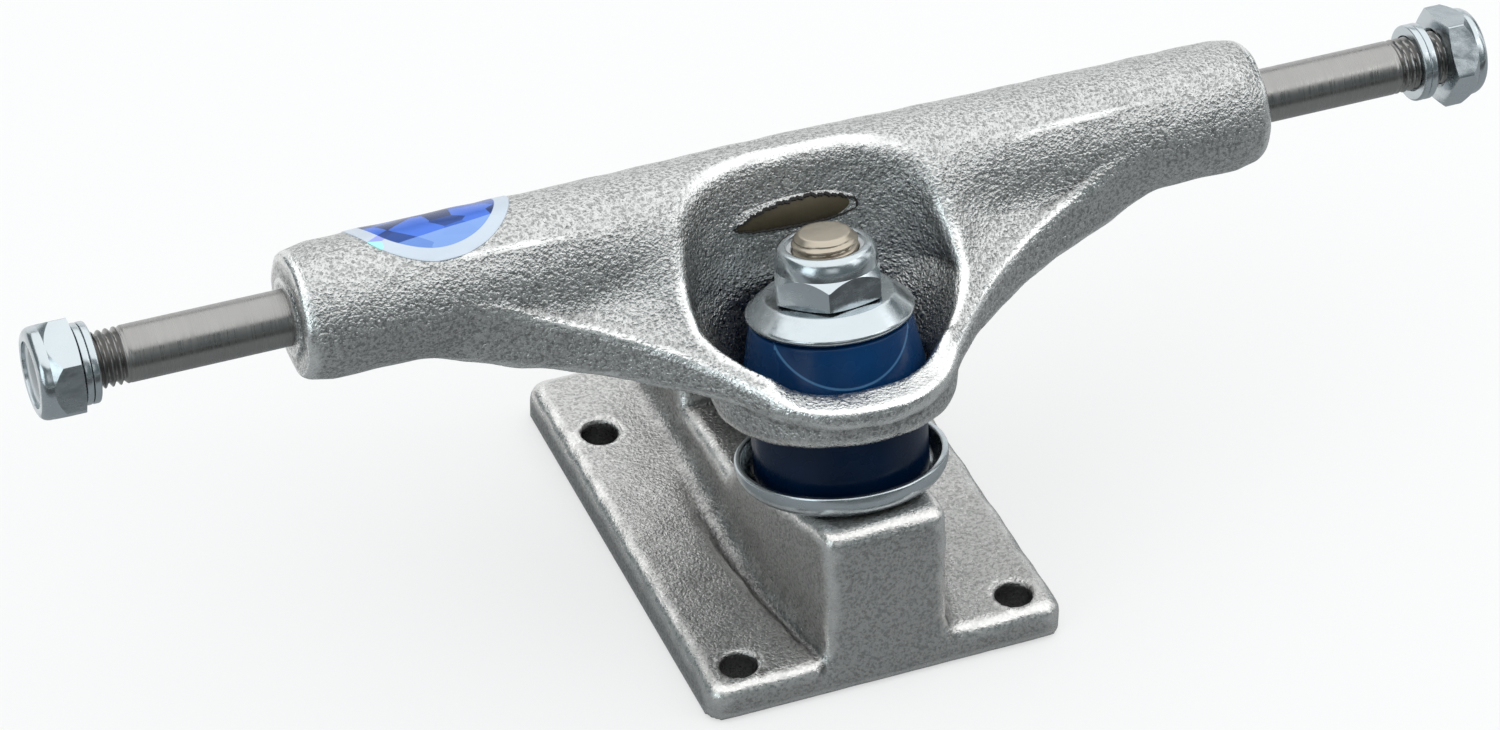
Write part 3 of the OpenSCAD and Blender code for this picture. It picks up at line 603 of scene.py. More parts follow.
def painted_arc_distance(profile, columns=160, turn=math.radians(-99), half=9.4):
    """Distance of each point of the upper bushing from a pale arc of light painted on it, which is
    half an ellipse on its front: height = low + rise (1 - sqrt(1 - (across / half)^2))."""
    low, rise = 2.75, 6.6
    a = full_turn(columns) - turn
    across = profile[:, :1] * np.sin(a) / half
    level = np.sqrt(np.maximum(1 - across**2, 0.003))
    away = (profile[:, 1:] - low - rise * (1 - level)) / np.sqrt(1 + (rise * across / level / half) ** 2)
    return np.where((np.cos(a) > 0) & (np.abs(across) < 1), away, FAR_FROM_ARC).ravel()


def nut_surface(across, hex_h, drop, dome_r, height, mouth, bore, origin, axis, turn, start, columns=192):
    """A lock nut from two parameters, angle and place along its section. The hexagon's radius
    is (across / 2) / cos of the angle from the middle of a flat. A cone cuts its lower face,
    a steeper one its upper corners, and an elliptical dome stands on it and closes to a mouth."""
    a = full_turn(columns) - turn
    half = across / 2
    side = half / np.cos((a % (math.pi / 3)) - math.pi / 6)
    plain = np.ones(columns)
    face_r = half * 0.955
    face_cone = math.radians(15)
    cone = (side - face_r) * math.tan(face_cone)
    bend = np.linspace(0, math.pi / 2, 12)[:, None] * plain
    low = hex_h + 0.35
    dome_radius = mouth + 0.25 + (dome_r - mouth - 0.25) * np.cos(bend) ** 0.68
    dome_height = low + (height - low) * np.sin(bend)
    foot = 0.03
    radius = [bore * plain, (bore + 0.45) * plain, face_r * plain, side, side, half * plain,
              *dome_radius, (mouth + 0.05) * plain, mouth * plain, mouth * plain, bore * plain]
    place = [0.45 * plain, foot * plain, foot * plain, foot + cone, hex_h - (side - half) * drop,
             hex_h * plain, *dome_height, (height - 0.08) * plain, (height - 0.3) * plain,
             (height - 1.6) * plain, (height - 1.7) * plain]
    return turned(np.stack(radius), np.stack(place), origin, axis, columns, start=start)


# Materials


class Wire:
    """A node's socket in an expression: + - and * on it add Math nodes."""

    def __init__(self, finish, socket):
        self.finish = finish
        self.socket = socket

    def __add__(self, other):
        return self.finish.math("ADD", self, other)

    __radd__ = __add__

    def __sub__(self, other):
        return self.finish.math("SUBTRACT", self, other)

    def __rsub__(self, other):
        return self.finish.math("SUBTRACT", other, self)

    def __mul__(self, other):
        return self.finish.math("MULTIPLY", self, other)

    __rmul__ = __mul__


class Finish:
    """A material and its nodes."""

    def __init__(self, name):
        self.material = bpy.data.materials.new(name)
        self.material.use_nodes = True
        self.tree = self.material.node_tree
        self.tree.nodes.clear()

    def add(self, kind, settings=None, sockets=None):
        """Adds a node. Its settings are set first, a ramp's stops among them, and then the
        values or links of its sockets, by name or place. Returns its outputs as wires."""
        node = self.tree.nodes.new("ShaderNode" + kind)
        for key, value in (settings or {}).items():
            if key == "stops":
                ramp = node.color_ramp
                while len(ramp.elements) < len(value):
                    ramp.elements.new(1.0)
                for element, (place, colour) in zip(ramp.elements, value):
                    element.position = place
                    element.color = (*colour, 1.0)
            else:
                setattr(node, key, value)
        for key, value in (sockets or {}).items():
            if isinstance(key, int):
                socket = node.inputs[key]
            else:
                socket = next(s for s in node.inputs if s.name == key and s.enabled)
            if isinstance(value, Wire):
                self.tree.links.new(value.socket, socket)
            elif socket.type == "RGBA":
                socket.default_value = (*value, 1.0)
            else:
                socket.default_value = value
        return [Wire(self, s) for s in node.outputs if s.enabled]

    def math(self, operation, a, b):
        """Two values through one operation."""
        return self.add("Math", {"operation": operation}, {0: a, 1: b})[0]

    def place(self):
        """Object coordinates."""
        return self.add("TexCoord")[3]

    def mark(self, name):
        """A value that the points carry."""
        return self.add("Attribute", {"attribute_name": name})[2]

    def stretched(self, where, scale):
        """Coordinates scaled along each axis."""
        return self.add("Mapping", {}, {"Vector": where, "Scale": scale})[0]

    def noise(self, where, scale, detail=2.0, roughness=0.5):
        """Noise from 0 to 1."""
        return self.add("TexNoise", {}, {"Vector": where, "Scale": scale, "Detail": detail,
                                         "Roughness": roughness})[0]

    def ramp(self, factor, stops):
        """A factor made a colour through stops."""
        return self.add("ValToRGB", {"stops": stops}, {"Fac": factor})[0]

    def blend(self, factor, a, b):
        """Two colours mixed by a factor."""
        return self.add("Mix", {"data_type": "RGBA"}, {"Factor": factor, "A": a, "B": b})[0]

    def span(self, value, low, high, start=0.0, end=1.0, kind="LINEAR"):
        """A value whose range from start to end is taken to low to high, and kept inside it."""
        return self.add("MapRange", {"interpolation_type": kind},
                        {"Value": value, "From Min": start, "From Max": end, "To Min": low,
                         "To Max": high})[0]

    def bump(self, height, strength, distance, normal=None):
        """A normal from a height."""
        sockets = {"Height": height, "Strength": strength, "Distance": distance}
        if normal is not None:
            sockets["Normal"] = normal
        return self.add("Bump", {}, sockets)[0]

    def shade(self, sockets):
        """Closes the material with one principled shader."""
        shader = self.add("BsdfPrincipled", {}, sockets)[0]
        self.add("OutputMaterial", {}, {"Surface": shader})
        return self.material


def toned(colour, gain, lift=0.0):
    """A colour made darker or lighter: c gain + lift, 1 at most."""
    return tuple(min(1.0, c * gain + lift) for c in colour)


def cast_metal(name, colour, dark, rough, grain, relief):
    """Sand-grained cast aluminium: grains a third to half a millimetre wide from two noises
    that raise the surface and darken its pits, slow patches of tone, rims that wear has smoothed
    and a painted highlight brightens, and painted shade in the sharp hollows."""
    m = Finish(name)
    where = m.place()
    worn = m.mark("worn")
    grime = m.mark("grime")
    fine = m.noise(where, 2900 * grain, 1.5, 0.6)
    coarse = m.noise(where, 1700 * grain, 1.0, 0.5)
    patch = m.noise(where, 60.0, 3.0, 0.6)
    speck = m.noise(m.stretched(where, (1.0, 1.0, 1.15)), 2100 * grain, 1.0, 0.5)
    height = coarse * 0.5 + fine * 0.5
    tone = m.span(height, 0.0, 1.0, 0.38, 0.56, "SMOOTHSTEP")
    base = m.blend(tone, dark, colour)
    base = m.blend(m.span(patch, 0.0, 0.25), base, toned(dark, 0.8))
    # Worn rims are smoother and carry a painted highlight: the metal colour raised 1.35 times.
    base = m.blend(worn * 0.7, base, toned(colour, 1.35))
    # Painted shade in sharp hollows and bolt holes: down to 0.3 of the pit colour.
    base = m.blend(grime * 0.7, base, toned(dark, 0.3))
    roughness = m.span(speck, rough - 0.1, rough + 0.14, 0.3, 0.7)
    return m.shade({"Base Color": base, "Metallic": 1.0, "Roughness": roughness - worn * 0.05,
                    "Normal": m.bump(height * (1.0 - worn * 0.7), 1.0, relief)})


def plated_metal(name, colour, rough):
    """Bright zinc plating: a clear even colour, faint smears in its roughness and shallow
    waves in its surface."""
    m = Finish(name)
    where = m.place()
    smear = m.noise(m.stretched(where, (1.0, 1.0, 2.2)), 420.0, 3.0, 0.6)
    cloud = m.noise(where, 160.0)
    base = m.blend(m.span(cloud, 0.0, 0.5), colour, toned(colour, 0.86))
    normal = m.bump(m.noise(where, 700.0), 0.08, 0.0002, m.bump(cloud, 0.12, 0.0008))
    return m.shade({"Base Color": base, "Metallic": 1.0, "Normal": normal,
                    "Roughness": m.span(smear, rough * 0.7, rough * 1.6, 0.3, 0.75)})


def turned_steel(name, colour, rough, along, dark_band=None):
    """Ground steel: fine rings from noise that is squeezed along the shaft, and a matt brown,
    darkened as painted shade, within a distance of the middle where one is given."""
    m = Finish(name)
    where = m.place()
    rings = m.noise(m.stretched(where, along), 60.0, 3.0, 0.65)
    stain = m.noise(where, 140.0, 3.0, 0.6)
    base = m.blend(m.span(stain, 0.0, 0.55), colour, toned(colour, 0.62))
    roughness = m.span(rings, rough - 0.08, rough + 0.12, 0.3, 0.7)
    metal = 1.0
    if dark_band:
        across = m.add("SeparateXYZ", {}, {"Vector": where})[0]
        middle = m.math("LESS_THAN", across * across, dark_band**2)
        # A matt brown in the middle, its darkness partly painted shade.
        base = m.blend(middle, base, m.blend(stain, (0.050, 0.040, 0.022), (0.110, 0.088, 0.052)))
        roughness = roughness + middle * 0.25
        metal = 1.0 - middle * 0.7
    return m.shade({"Base Color": base, "Metallic": metal, "Roughness": roughness,
                    "Normal": m.bump(rings, 0.12, 0.0001)})


def urethane(name, colour, deep, line):
    """Poured urethane: a glossy deep colour that clouds a little, with a faint moulded
    texture, and a painted pale arc of light where the distance that its points carry is near 0."""
    m = Finish(name)
    where = m.place()
    cloud = m.noise(where, 90.0, 3.0, 0.55)
    away = m.mark("arc")
    # Painted light: a pale arc where that distance is near 0.
    near = m.span(away * away, 0.0, 0.8, 0.05, 0.0, "SMOOTHSTEP")
    base = m.blend(near, m.blend(cloud, deep, colour), line)
    return m.shade({"Base Color": base, "Roughness": m.span(m.noise(where, 260.0), 0.2, 0.34, 0.3, 0.7),
                    "IOR": 1.4, "Specular IOR Level": 0.3,
                    "Normal": m.bump(m.noise(where, 500.0), 0.05, 0.0003)})


def moulded_plastic(name, colour, rough):
    """Moulded plastic: an even colour with a fine matt grain and light scuffs."""
    m = Finish(name)
    where = m.place()
    scuff = m.noise(where, 240.0, 4.0, 0.6)
    base = m.blend(m.span(scuff, 0.0, 0.3), colour, toned(colour, 1.7, 0.01))
    return m.shade({"Base Color": base, "Roughness": m.span(scuff, rough - 0.08, rough + 0.1),
                    "Normal": m.bump(m.noise(where, 1800.0), 0.15, 0.0001)})


def foil(name, blue, pale, radius):
    """Prismatic foil: facets in several blues, with a painted highlight of lighter blues below a
    straight border across its front, and a pale rim with a few tinted facets where the distance
    from the middle comes near the radius."""
    rim_width, facets = 0.002, 250.0
    m = Finish(name)
    uv = m.add("UVMap", {"uv_map": "foil"})[0]
    tint = m.add("TexVoronoi", {"feature": "F1"}, {"Vector": m.stretched(uv, (0.8, 1.3, 1.0)),
                                                   "Scale": facets, "Randomness": 1.0})[1]
    shades = m.ramp(tint, [(0.2, toned(blue, 0.3)), (0.42, toned(blue, 0.6)), (0.6, blue),
                           (0.8, toned(blue, 1.5, 0.03))])
    # Painted highlight: lighter blues for the band below the border across the front.
    glint = m.ramp(tint, [(0.25, (0.08, 0.19, 0.56)), (0.7, (0.20, 0.34, 0.70))])
    along, around, _ = m.add("SeparateXYZ", {}, {"Vector": uv})
    front = m.math("LESS_THAN", around - along * 0.12, -0.0066)
    rings = m.ramp(tint, [(0.3, pale), (0.36, (0.32, 0.36, 0.78)), (0.42, pale), (0.66, pale),
                          (0.7, (0.40, 0.85, 0.82)), (0.76, pale)])
    away = m.add("VectorMath", {"operation": "LENGTH"}, {0: uv})[-1]
    rim = m.span(away, 0.0, 1.0, radius - rim_width - 0.00005, radius - rim_width + 0.00005)
    base = m.blend(rim, m.blend(front, shades, glint), rings)
    return m.shade({"Base Color": base, "Metallic": 0.35, "Roughness": m.span(rim, 0.25, 0.4),
                    "Normal": m.bump(tint, 0.08, 0.0003)})


def zinc_plate():
    """The plating that the nuts and washers share, made when it is first asked for."""
    found = bpy.data.materials.get("zinc_plate")
    return found or plated_metal("zinc_plate", bpy.context.scene.truck_hardware.zinc, 0.21)


# Pieces


def make_mesh(name, points, faces, sharp=40.0):
    """A mesh from points in metres, shaded smooth but for edges sharper than an angle."""
    mesh = bpy.data.meshes.new(name)
    mesh.from_pydata(np.asarray(points).tolist(), [], faces if isinstance(faces, list) else faces.tolist())
    mesh.validate()
    mesh.shade_smooth()
    mesh.set_sharp_from_angle(angle=math.radians(sharp))
    mesh.update()
    return mesh


def make_object(name, data, material=None):
    """An object in the scene's collection, with its material if it has one."""
    made = bpy.data.objects.new(name, data)
    bpy.context.scene.collection.objects.link(made)
    if material:
        data.materials.append(material)
    return made


def put(name, points, faces, material, body, slot, nodes=(), sharp=40.0, marks=None):
    """A piece from points in millimetres, with its material, its body, what it replaces and
    the values that its points carry. A piece without a body is not attached to one."""
    mesh = make_mesh(name, np.asarray(points) * MM, faces, sharp)
    for mark, values in (marks or {}).items():
        mesh.attributes.new(mark, "FLOAT", "POINT").data.foreach_set("value", np.asarray(values, np.float32))
    piece = make_object(name, mesh, material)
    if body:
        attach(piece, body)
    if nodes:
        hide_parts(*nodes)
    return piece


def bend(piece, fixed_t, moved_t):
    """Bakes a bushing's place into its mesh; the points on the kingpin at both heights are worked out and not
    used.
    """
    kingpin_point(fixed_t) * MM
    kingpin_point(moved_t) * MM
    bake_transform(piece)


def dress(node, material):
    """Gives a solid that stays its material."""
    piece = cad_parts[node]
    piece.data.materials.clear()
    piece.data.materials.append(material)


# Properties


def colour_setting(name, description, default):
    """A colour."""
    return FloatVectorProperty(name=name, description=description, default=default, subtype="COLOR")


def length_setting(name, description, default, low=0.0, high=10.0):
    """A length in metres."""
    return FloatProperty(name=name, description=description, default=default, min=low, max=high,
                         unit="LENGTH", precision=6)


def angle_setting(name, description, degrees):
    """An angle, given in degrees."""
    return FloatProperty(name=name, description=description, default=math.radians(degrees), subtype="ANGLE")


class TruckCastings(bpy.types.PropertyGroup):
    """Sizes and colours of the two castings."""

    hanger_cell: length_setting("Hanger cell", "Spacing of the grid the hanger is skinned on",
                                0.00056, 0.0004, 0.002)
    base_cell: length_setting("Baseplate cell", "Spacing of the grid the baseplate is skinned on",
                              0.00052, 0.0004, 0.002)
    bright: colour_setting("Metal", "Colour of the raised grains of the cast aluminium", (0.63, 0.63, 0.62))
    dull: colour_setting("Pits", "Colour between the grains", (0.32, 0.32, 0.315))
    base_bright: colour_setting("Baseplate metal", "Colour of the baseplate's grains", (0.58, 0.57, 0.555))
    base_dull: colour_setting("Baseplate pits", "Colour between the baseplate's grains", (0.36, 0.354, 0.345))
    roughness: FloatProperty(name="Roughness", description="Middle roughness of the cast skin",
                             default=0.32, min=0.1, max=0.9, subtype="FACTOR")
    grain: FloatProperty(name="Grain", description="Fineness of the cast grain, 1 for grains of about 0.5 mm",
                         default=1.0, min=0.3, max=3.0)
    relief: length_setting("Relief", "Height of the cast grain", 0.00046)


class TruckHardware(bpy.types.PropertyGroup):
    """Sizes and colours of the steel parts."""

    pitch: length_setting("Thread pitch", "Advance of the threads in one turn", 0.001058)
    depth: length_setting("Thread depth", "Depth of the threads", 0.0006)
    zinc: colour_setting("Zinc", "Colour of the plated steel", (0.52, 0.565, 0.59))
    axle: colour_setting("Axle steel", "Colour of the axle", (0.35, 0.34, 0.33))
    kingpin: colour_setting("Kingpin steel", "Colour of the kingpin", (0.50, 0.44, 0.36))
    nylon: colour_setting("Nylon", "Colour of the locking rings", (0.62, 0.64, 0.66))


class TruckRubber(bpy.types.PropertyGroup):
    """Colours of the soft parts."""

    blue: colour_setting("Urethane", "Colour of the bushings", (0.002, 0.050, 0.17))
    deep: colour_setting("Urethane depth", "Colour of the bushings where they cloud", (0.001, 0.012, 0.042))
    # Colour of a pale arc of light painted on the upper bushing's front.
    line: colour_setting("Mould line", "Colour of the line that the mould leaves", (0.07, 0.19, 0.36))
    cup: colour_setting("Pivot cup", "Colour of the pivot cup", (0.012, 0.012, 0.013))


class TruckSticker(bpy.types.PropertyGroup):
    """Size and colours of the round sticker."""

    radius: length_setting("Radius", "Radius of the sticker", 0.0115)
    turn: angle_setting("Turn", "Angle of its middle round the tube, from the front", 125)
    blue: colour_setting("Foil", "Colour of the foil", (0.012, 0.085, 0.42))
    pale: colour_setting("Rim", "Colour of the sticker's rim", (0.56, 0.62, 0.70))


class TruckStage(bpy.types.PropertyGroup):
    """The camera and the lamps."""

    azimuth: angle_setting("Azimuth", "Camera's angle round the truck", -23.444)
    elevation: angle_setting("Elevation", "Camera's angle above the floor", 38.138)
    roll: angle_setting("Roll", "Camera's turn about its view", 1.597)
    distance: length_setting("Distance", "Camera's distance from the truck", 0.7015)
    lens: FloatProperty(name="Lens", description="Focal length in millimetres", default=121.15)
    key: FloatProperty(name="Top lamp", description="Radiance of the large lamp above", default=1.35)
    front: FloatProperty(name="Front lamp", description="Radiance of the small lamps in front", default=1.7)
    floor: colour_setting("Floor", "Colour of the floor", (0.80, 0.80, 0.80))


# Operators


def area_lamp(name, at, aim, size, radiance, colour=(1.0, 1.0, 1.0)):
    """A soft rectangular lamp whose face has a given radiance: power = radiance pi area."""
    lamp = bpy.data.lights.new(name, "AREA")
    lamp.shape = "RECTANGLE"
    lamp.size, lamp.size_y = size
    lamp.energy = radiance * math.pi * size[0] * size[1]
    lamp.color = colour
    holder = make_object(name, lamp)
    holder.location = at
    holder.rotation_euler = (Vector(aim) - Vector(at)).to_track_quat("-Z", "Y").to_euler()


def aim_camera(s):
    """The camera at its angles round CAMERA_AIM: back points from there to the camera, and
    right and up turn about back by the roll."""
    ca, sa = math.cos(s.azimuth), math.sin(s.azimuth)
    ce, se = math.cos(s.elevation), math.sin(s.elevation)
    back = Vector((sa * ce, -ca * ce, se))
    right = Vector((ca, sa, 0))
    up = back.cross(right)
    cr, sr = math.cos(s.roll), math.sin(s.roll)
    right, up = right * cr + up * sr, up * cr - right * sr
    data = bpy.data.cameras.new("Camera")
    data.sensor_width = 36
    data.lens = s.lens
    data.shift_x, data.shift_y = CAMERA_SHIFT
    data.clip_start = 0.01
    camera = make_object("Camera", data)
    turn = Matrix((right, up, back)).transposed().to_4x4()
    camera.matrix_world = Matrix.Translation(Vector(CAMERA_AIM) + back * s.distance) @ turn
    bpy.context.scene.camera = camera


def paper_floor(colour):
    """A round pale floor, which glows a little for camera, glossy and transmission rays."""
    floor = Finish("floor_paper")
    ray = floor.add("LightPath")
    seen = floor.math("MAXIMUM", floor.math("MAXIMUM", ray[0], ray[3]), ray[6])
    paper = floor.add("BsdfDiffuse", {}, {"Color": colour})[0]
    glow = floor.add("Emission", {}, {"Color": (1, 1, 1), "Strength": 1.0})[0]
    mixed = floor.add("MixShader", {}, {0: seen * 0.6, 1: paper, 2: glow})[0]
    floor.add("OutputMaterial", {}, {"Surface": mixed})
    columns = 96
    a = full_turn(columns)
    r = np.array([0.0, 0.4, 1.2, 4.0])[:, None]
    ring = np.stack([r * np.cos(a), r * np.sin(a), np.full((4, columns), -0.0004)], -1).reshape(-1, 3)
    return make_object("floor", make_mesh("floor", ring, wrap_faces(4, columns, False)), floor.material)


def reflection_card(name, front, back, shade):
    """A grey card over a strip of the floor, which only reflections see."""
    corners = [(x, y, -0.0002) for x, y in ((-0.9, front), (0.9, front), (0.9, back), (-0.9, back))]
    grey = Finish(name)
    paint = grey.add("BsdfDiffuse", {}, {"Color": (shade * 0.97, shade, shade * 1.02)})[0]
    grey.add("OutputMaterial", {}, {"Surface": paint})
    flag = make_object(name, make_mesh(name, corners, [[0, 1, 2, 3]]), grey.material)
    flag.visible_camera = False
    flag.visible_shadow = False
    flag.visible_diffuse = False
    return flag


class TRUCK_OT_stage(bpy.types.Operator):
    """Camera, soft lamps and a pale floor"""

    bl_idname = "truck.stage"
    bl_label = "Studio stage"

    def execute(self, context):
        s = context.scene.truck_stage
        scene = context.scene
        scene.view_settings.view_transform = "Standard"
        aim_camera(s)

        area_lamp("lamp_top", (0.05, 0.25, 0.80), (0.03, 0.20, 0.0), (1.9, 2.0), s.key)
        area_lamp("lamp_front_right", (0.84, -0.58, 0.62), (0, 0, 0.03), (0.5, 0.6), s.front)
        area_lamp("lamp_front_left", (-0.17, -1.0, 0.46), (0, 0, 0.03), (0.45, 0.35), s.front * 0.4)
        area_lamp("lamp_back", (0.35, 1.35, 0.30), (0, 0, 0.04), (2.2, 0.6), s.key * 0.65)
        area_lamp("lamp_left", (-0.82, -0.42, 0.34), (0, 0, 0.03), (0.5, 0.55), s.key * 1.3,
                  (0.88, 0.97, 1.0))
        area_lamp("lamp_right", (0.75, 0.0, 0.35), (0, 0, 0.03), (0.25, 0.6), s.key * 0.8)

        world = bpy.data.worlds.new("Studio")
        scene.world = world
        world.use_nodes = True
        sky = world.node_tree.nodes["Background"]
        sky.inputs["Color"].default_value = (0.64, 0.78, 0.82, 1)
        sky.inputs["Strength"].default_value = 0.25

        ground = paper_floor(s.floor)
        flags = [reflection_card("card_near", -0.115, 0.05, 0.36),
                 reflection_card("card_far", -1.0, -0.115, 0.10)]
        return {"FINISHED"}


class TRUCK_OT_hanger(bpy.types.Operator):
    """Hanger casting with its bowl, rim, wing and the window on the axle"""

    bl_idname = "truck.hanger"
    bl_label = "Hanger casting"

    def execute(self, context):
        c = context.scene.truck_castings
        cell = c.hanger_cell / MM * 1
        spots, quads = skin(hanger_field, *HANGER_BOX, cell)
        metal = cast_metal("hanger_metal", c.bright, c.dull, c.roughness, c.grain, c.relief)
        marks = wear_and_shade(spots, quads)
        # Painted highlight: the top face of the rim round the bowl's front is marked as worn too.
        t, s, r_k = kingpin_place(*spots.T)
        rim = 1 - np.abs(t - rim_height(np.abs(spots[:, 0]), s)) / 0.6
        rim = np.where((s < -2) & (r_k < RING_R + 0.5), np.clip(rim, 0, 1), 0)
        marks["worn"] = np.maximum(marks["worn"], rim)
        put("hanger_casting", spots, quads, metal, "hanger", "cast_hanger", ["hanger"], sharp=60, marks=marks)
        flash = [(0.05, 0.02, 3.86), (0.05, 0.02, 4.09), (1.6, 1.6, 4.09), (1.6, 1.6, 3.86)]
        put("window_flash", *window_ring(flash), metal, "hanger", "cast_hanger", sharp=30)
        # Painted shadow: a near-black strip proud of the bowl along the window's ragged edge, where the gap
        # round the axle lies in shade.
        scale = [(-0.22, -0.12, 3.87), (-0.10, -0.05, 4.15), (0.30, 0.08, 4.18), (0.34, 0.10, 3.90)]
        dark_band = moulded_plastic("window_shadow_paint", (0.012, 0.010, 0.009), 0.7)
        put("window_shadow_strip", *window_ring(scale), dark_band, "hanger", "cast_hanger", sharp=30)
        return {"FINISHED"}


class TRUCK_OT_baseplate(bpy.types.Operator):
    """Baseplate casting with its pads, riser and pivot tower"""

    bl_idname = "truck.baseplate"
    bl_label = "Baseplate casting"

    def execute(self, context):
        c = context.scene.truck_castings
        cell = c.base_cell / MM * 1
        spots, quads = skin(base_field, *BASE_BOX, cell)
        metal = cast_metal("base_metal", c.base_bright, c.base_dull, c.roughness + 0.04, c.grain,
                           c.relief * 0.55)
        marks = wear_and_shade(spots, quads)
        x, y, z = spots.T
        # Painted shade in the bolt holes, deeper below the pads' top, and no worn highlight there.
        bore = np.hypot(np.abs(x) - HOLE_X, np.abs(y) - HOLE_Y) < HOLE_R + 0.55
        marks["worn"] = np.where(bore, 0, marks["worn"])
        marks["grime"] = np.where(bore, np.clip((PAD_Z - z) / 1.2, 0, 1), marks["grime"])
        put("baseplate_casting", spots, quads, metal, "base", "cast_base", ["baseplate"], sharp=60,
            marks=marks)
        return {"FINISHED"}


class TRUCK_OT_axle(bpy.types.Operator):
    """Axle with cut threads at both ends"""

    bl_idname = "truck.axle"
    bl_label = "Axle"

    def execute(self, context):
        w = context.scene.truck_hardware
        pitch, depth = w.pitch / MM, w.depth / MM
        smooth = AXLE_HALF - AXLE_THREAD
        threads = np.arange(-AXLE_HALF + 0.05, -smooth, pitch / 9)
        plain = [-smooth, -smooth + 0.3, -HANGER_HALF - 0.1, -HANGER_HALF, -HANGER_HALF + 0.1, -20]
        left = np.concatenate([[-AXLE_HALF, -AXLE_HALF], threads, plain])
        x = np.concatenate([left, [0], -left[::-1]])
        along = x[:, None]
        ax = np.abs(along)
        a = full_turn(STEEL_COLUMNS)
        r = np.where(along > 0, screw_radius(along, a, AXLE_THREAD_R, pitch, depth, smooth, AXLE_HALF + 3),
                     screw_radius(along, a, AXLE_THREAD_R, pitch, depth, -AXLE_HALF - 3, -smooth))
        r = np.where(ax < smooth, AXLE_R, r)
        r = np.where(ax < HANGER_HALF, AXLE_CORE_R, r)
        r = np.minimum(r, AXLE_THREAD_R - np.maximum(ax - AXLE_HALF + 0.8, 0))
        r[[0, -1]] *= 0.86
        points, faces = turned(r, x, (0, AXLE_Y, AXLE_Z), (1, 0, 0), STEEL_COLUMNS, closed=False,
                               start=(0, 1, 0))
        steel = turned_steel("axle_ground", w.axle, 0.28, along=(60.0, 1.0, 1.0), dark_band=0.014)
        put("threaded_axle", points, faces, steel, "hanger", "axle_steel", ["axle"], sharp=50)
        return {"FINISHED"}


class TRUCK_OT_kingpin(bpy.types.Operator):
    """Kingpin with its thread and hexagonal head"""

    bl_idname = "truck.kingpin"
    bl_label = "Kingpin"

    def execute(self, context):
        w = context.scene.truck_hardware
        pitch, depth = w.pitch / MM, w.depth / MM
        steel = turned_steel("kingpin_ground", w.kingpin, 0.34, along=(1.0, 1.0, 30.0))
        start = KINGPIN_TOP_T - KINGPIN_THREAD
        t = np.concatenate([[HEAD_TOP_T - 0.2, 12, start - 0.1],
                            np.arange(start, KINGPIN_TOP_T - 0.02, pitch / 9),
                            [KINGPIN_TOP_T - 0.01, KINGPIN_TOP_T]])
        along = t[:, None]
        a = full_turn(STEEL_COLUMNS)
        r = screw_radius(along, a, KINGPIN_THREAD_R, pitch, depth, start, KINGPIN_TOP_T + 3)
        r = np.where(along < start, KINGPIN_R, r)
        r = np.minimum(r, KINGPIN_THREAD_R - 0.06 - np.maximum(along - KINGPIN_TOP_T + 1.1, 0))
        r[-1] *= 0.9
        points, faces = turned(r, t, kingpin_point(0), KINGPIN_AXIS, STEEL_COLUMNS, closed=False)
        put("threaded_kingpin", points, faces, steel, "base", "kingpin_steel", ["kingpin"], sharp=50)
        side = HEAD_HALF / np.cos((a % (math.pi / 3)) - math.pi / 6)
        plain = np.ones(STEEL_COLUMNS)
        cone = 0.577 * (side - side.min())
        rows = np.stack([6.4 * plain, side * 0.97, side, side, 6.7 * plain])
        heights = np.stack([HEAD_LOW_T * plain, HEAD_LOW_T + cone * 0.6, HEAD_LOW_T + 0.3 + cone,
                            (HEAD_TOP_T - 0.1) * plain, HEAD_TOP_T * plain])
        points, faces = turned(rows, heights, kingpin_point(0), KINGPIN_AXIS, STEEL_COLUMNS, closed=False)
        put("kingpin_head", points, faces, steel, "base", "kingpin_steel", sharp=35)
        return {"FINISHED"}


class TRUCK_OT_bushings(bpy.types.Operator):
    """The two urethane bushings"""

    bl_idname = "truck.bushings"
    bl_label = "Bushings"

    def execute(self, context):
        u = context.scene.truck_rubber
        lit = urethane("urethane_lit", u.blue, u.deep, u.line)
        # Painted shade: the lower bushing takes a copy of the urethane at 0.3 of its colours.
        shaded = urethane("urethane_shaded", toned(u.blue, 0.3), toned(u.deep, 0.3), u.line)
        top = WEB_LOW_T - CUP_FLOOR_T
        wall = [(12.15 + 0.011 * h, h) for h in np.linspace(1.2, top - 1.2, 16)]
        lower = eased([(BORE_R, 0), (12.15, 0), *wall, (12.3, top), (BORE_R, top)],
                      [0.3, 1.0] + [0.1] * 16 + [1.0, 0.3])
        points, faces = turned_section(lower, kingpin_point(CUP_FLOOR_T), KINGPIN_AXIS)
        bushing = put("bushing_lower", points, faces, shaded, None, "urethane", ["lower_bushing"],
                      marks={"arc": np.full(len(points), FAR_FROM_ARC)})
        bend(bushing, CUP_FLOOR_T, WEB_LOW_T)
        top = UPPER_WASHER_T - WEB_TOP_T
        cone = [(12.75 - 0.19 * h, h) for h in np.linspace(0.9, 7.6, 24)]
        upper = eased([(BORE_R, 0), (12.6, 0), *cone, (11.2, 8.35), (10.15, 8.5), (10.15, 9.2), (8.0, top),
                       (BORE_R, top)],
                      [0.3, 0.5] + [0.1] * 24 + [0.3, 0.2, 0.3, 0.4, 0.3])
        points, faces = turned_section(upper, kingpin_point(WEB_TOP_T), KINGPIN_AXIS)
        bushing = put("bushing_upper", points, faces, lit, None, "urethane", ["upper_bushing"],
                      marks={"arc": painted_arc_distance(upper)})
        bend(bushing, UPPER_WASHER_T, WEB_TOP_T)
        return {"FINISHED"}


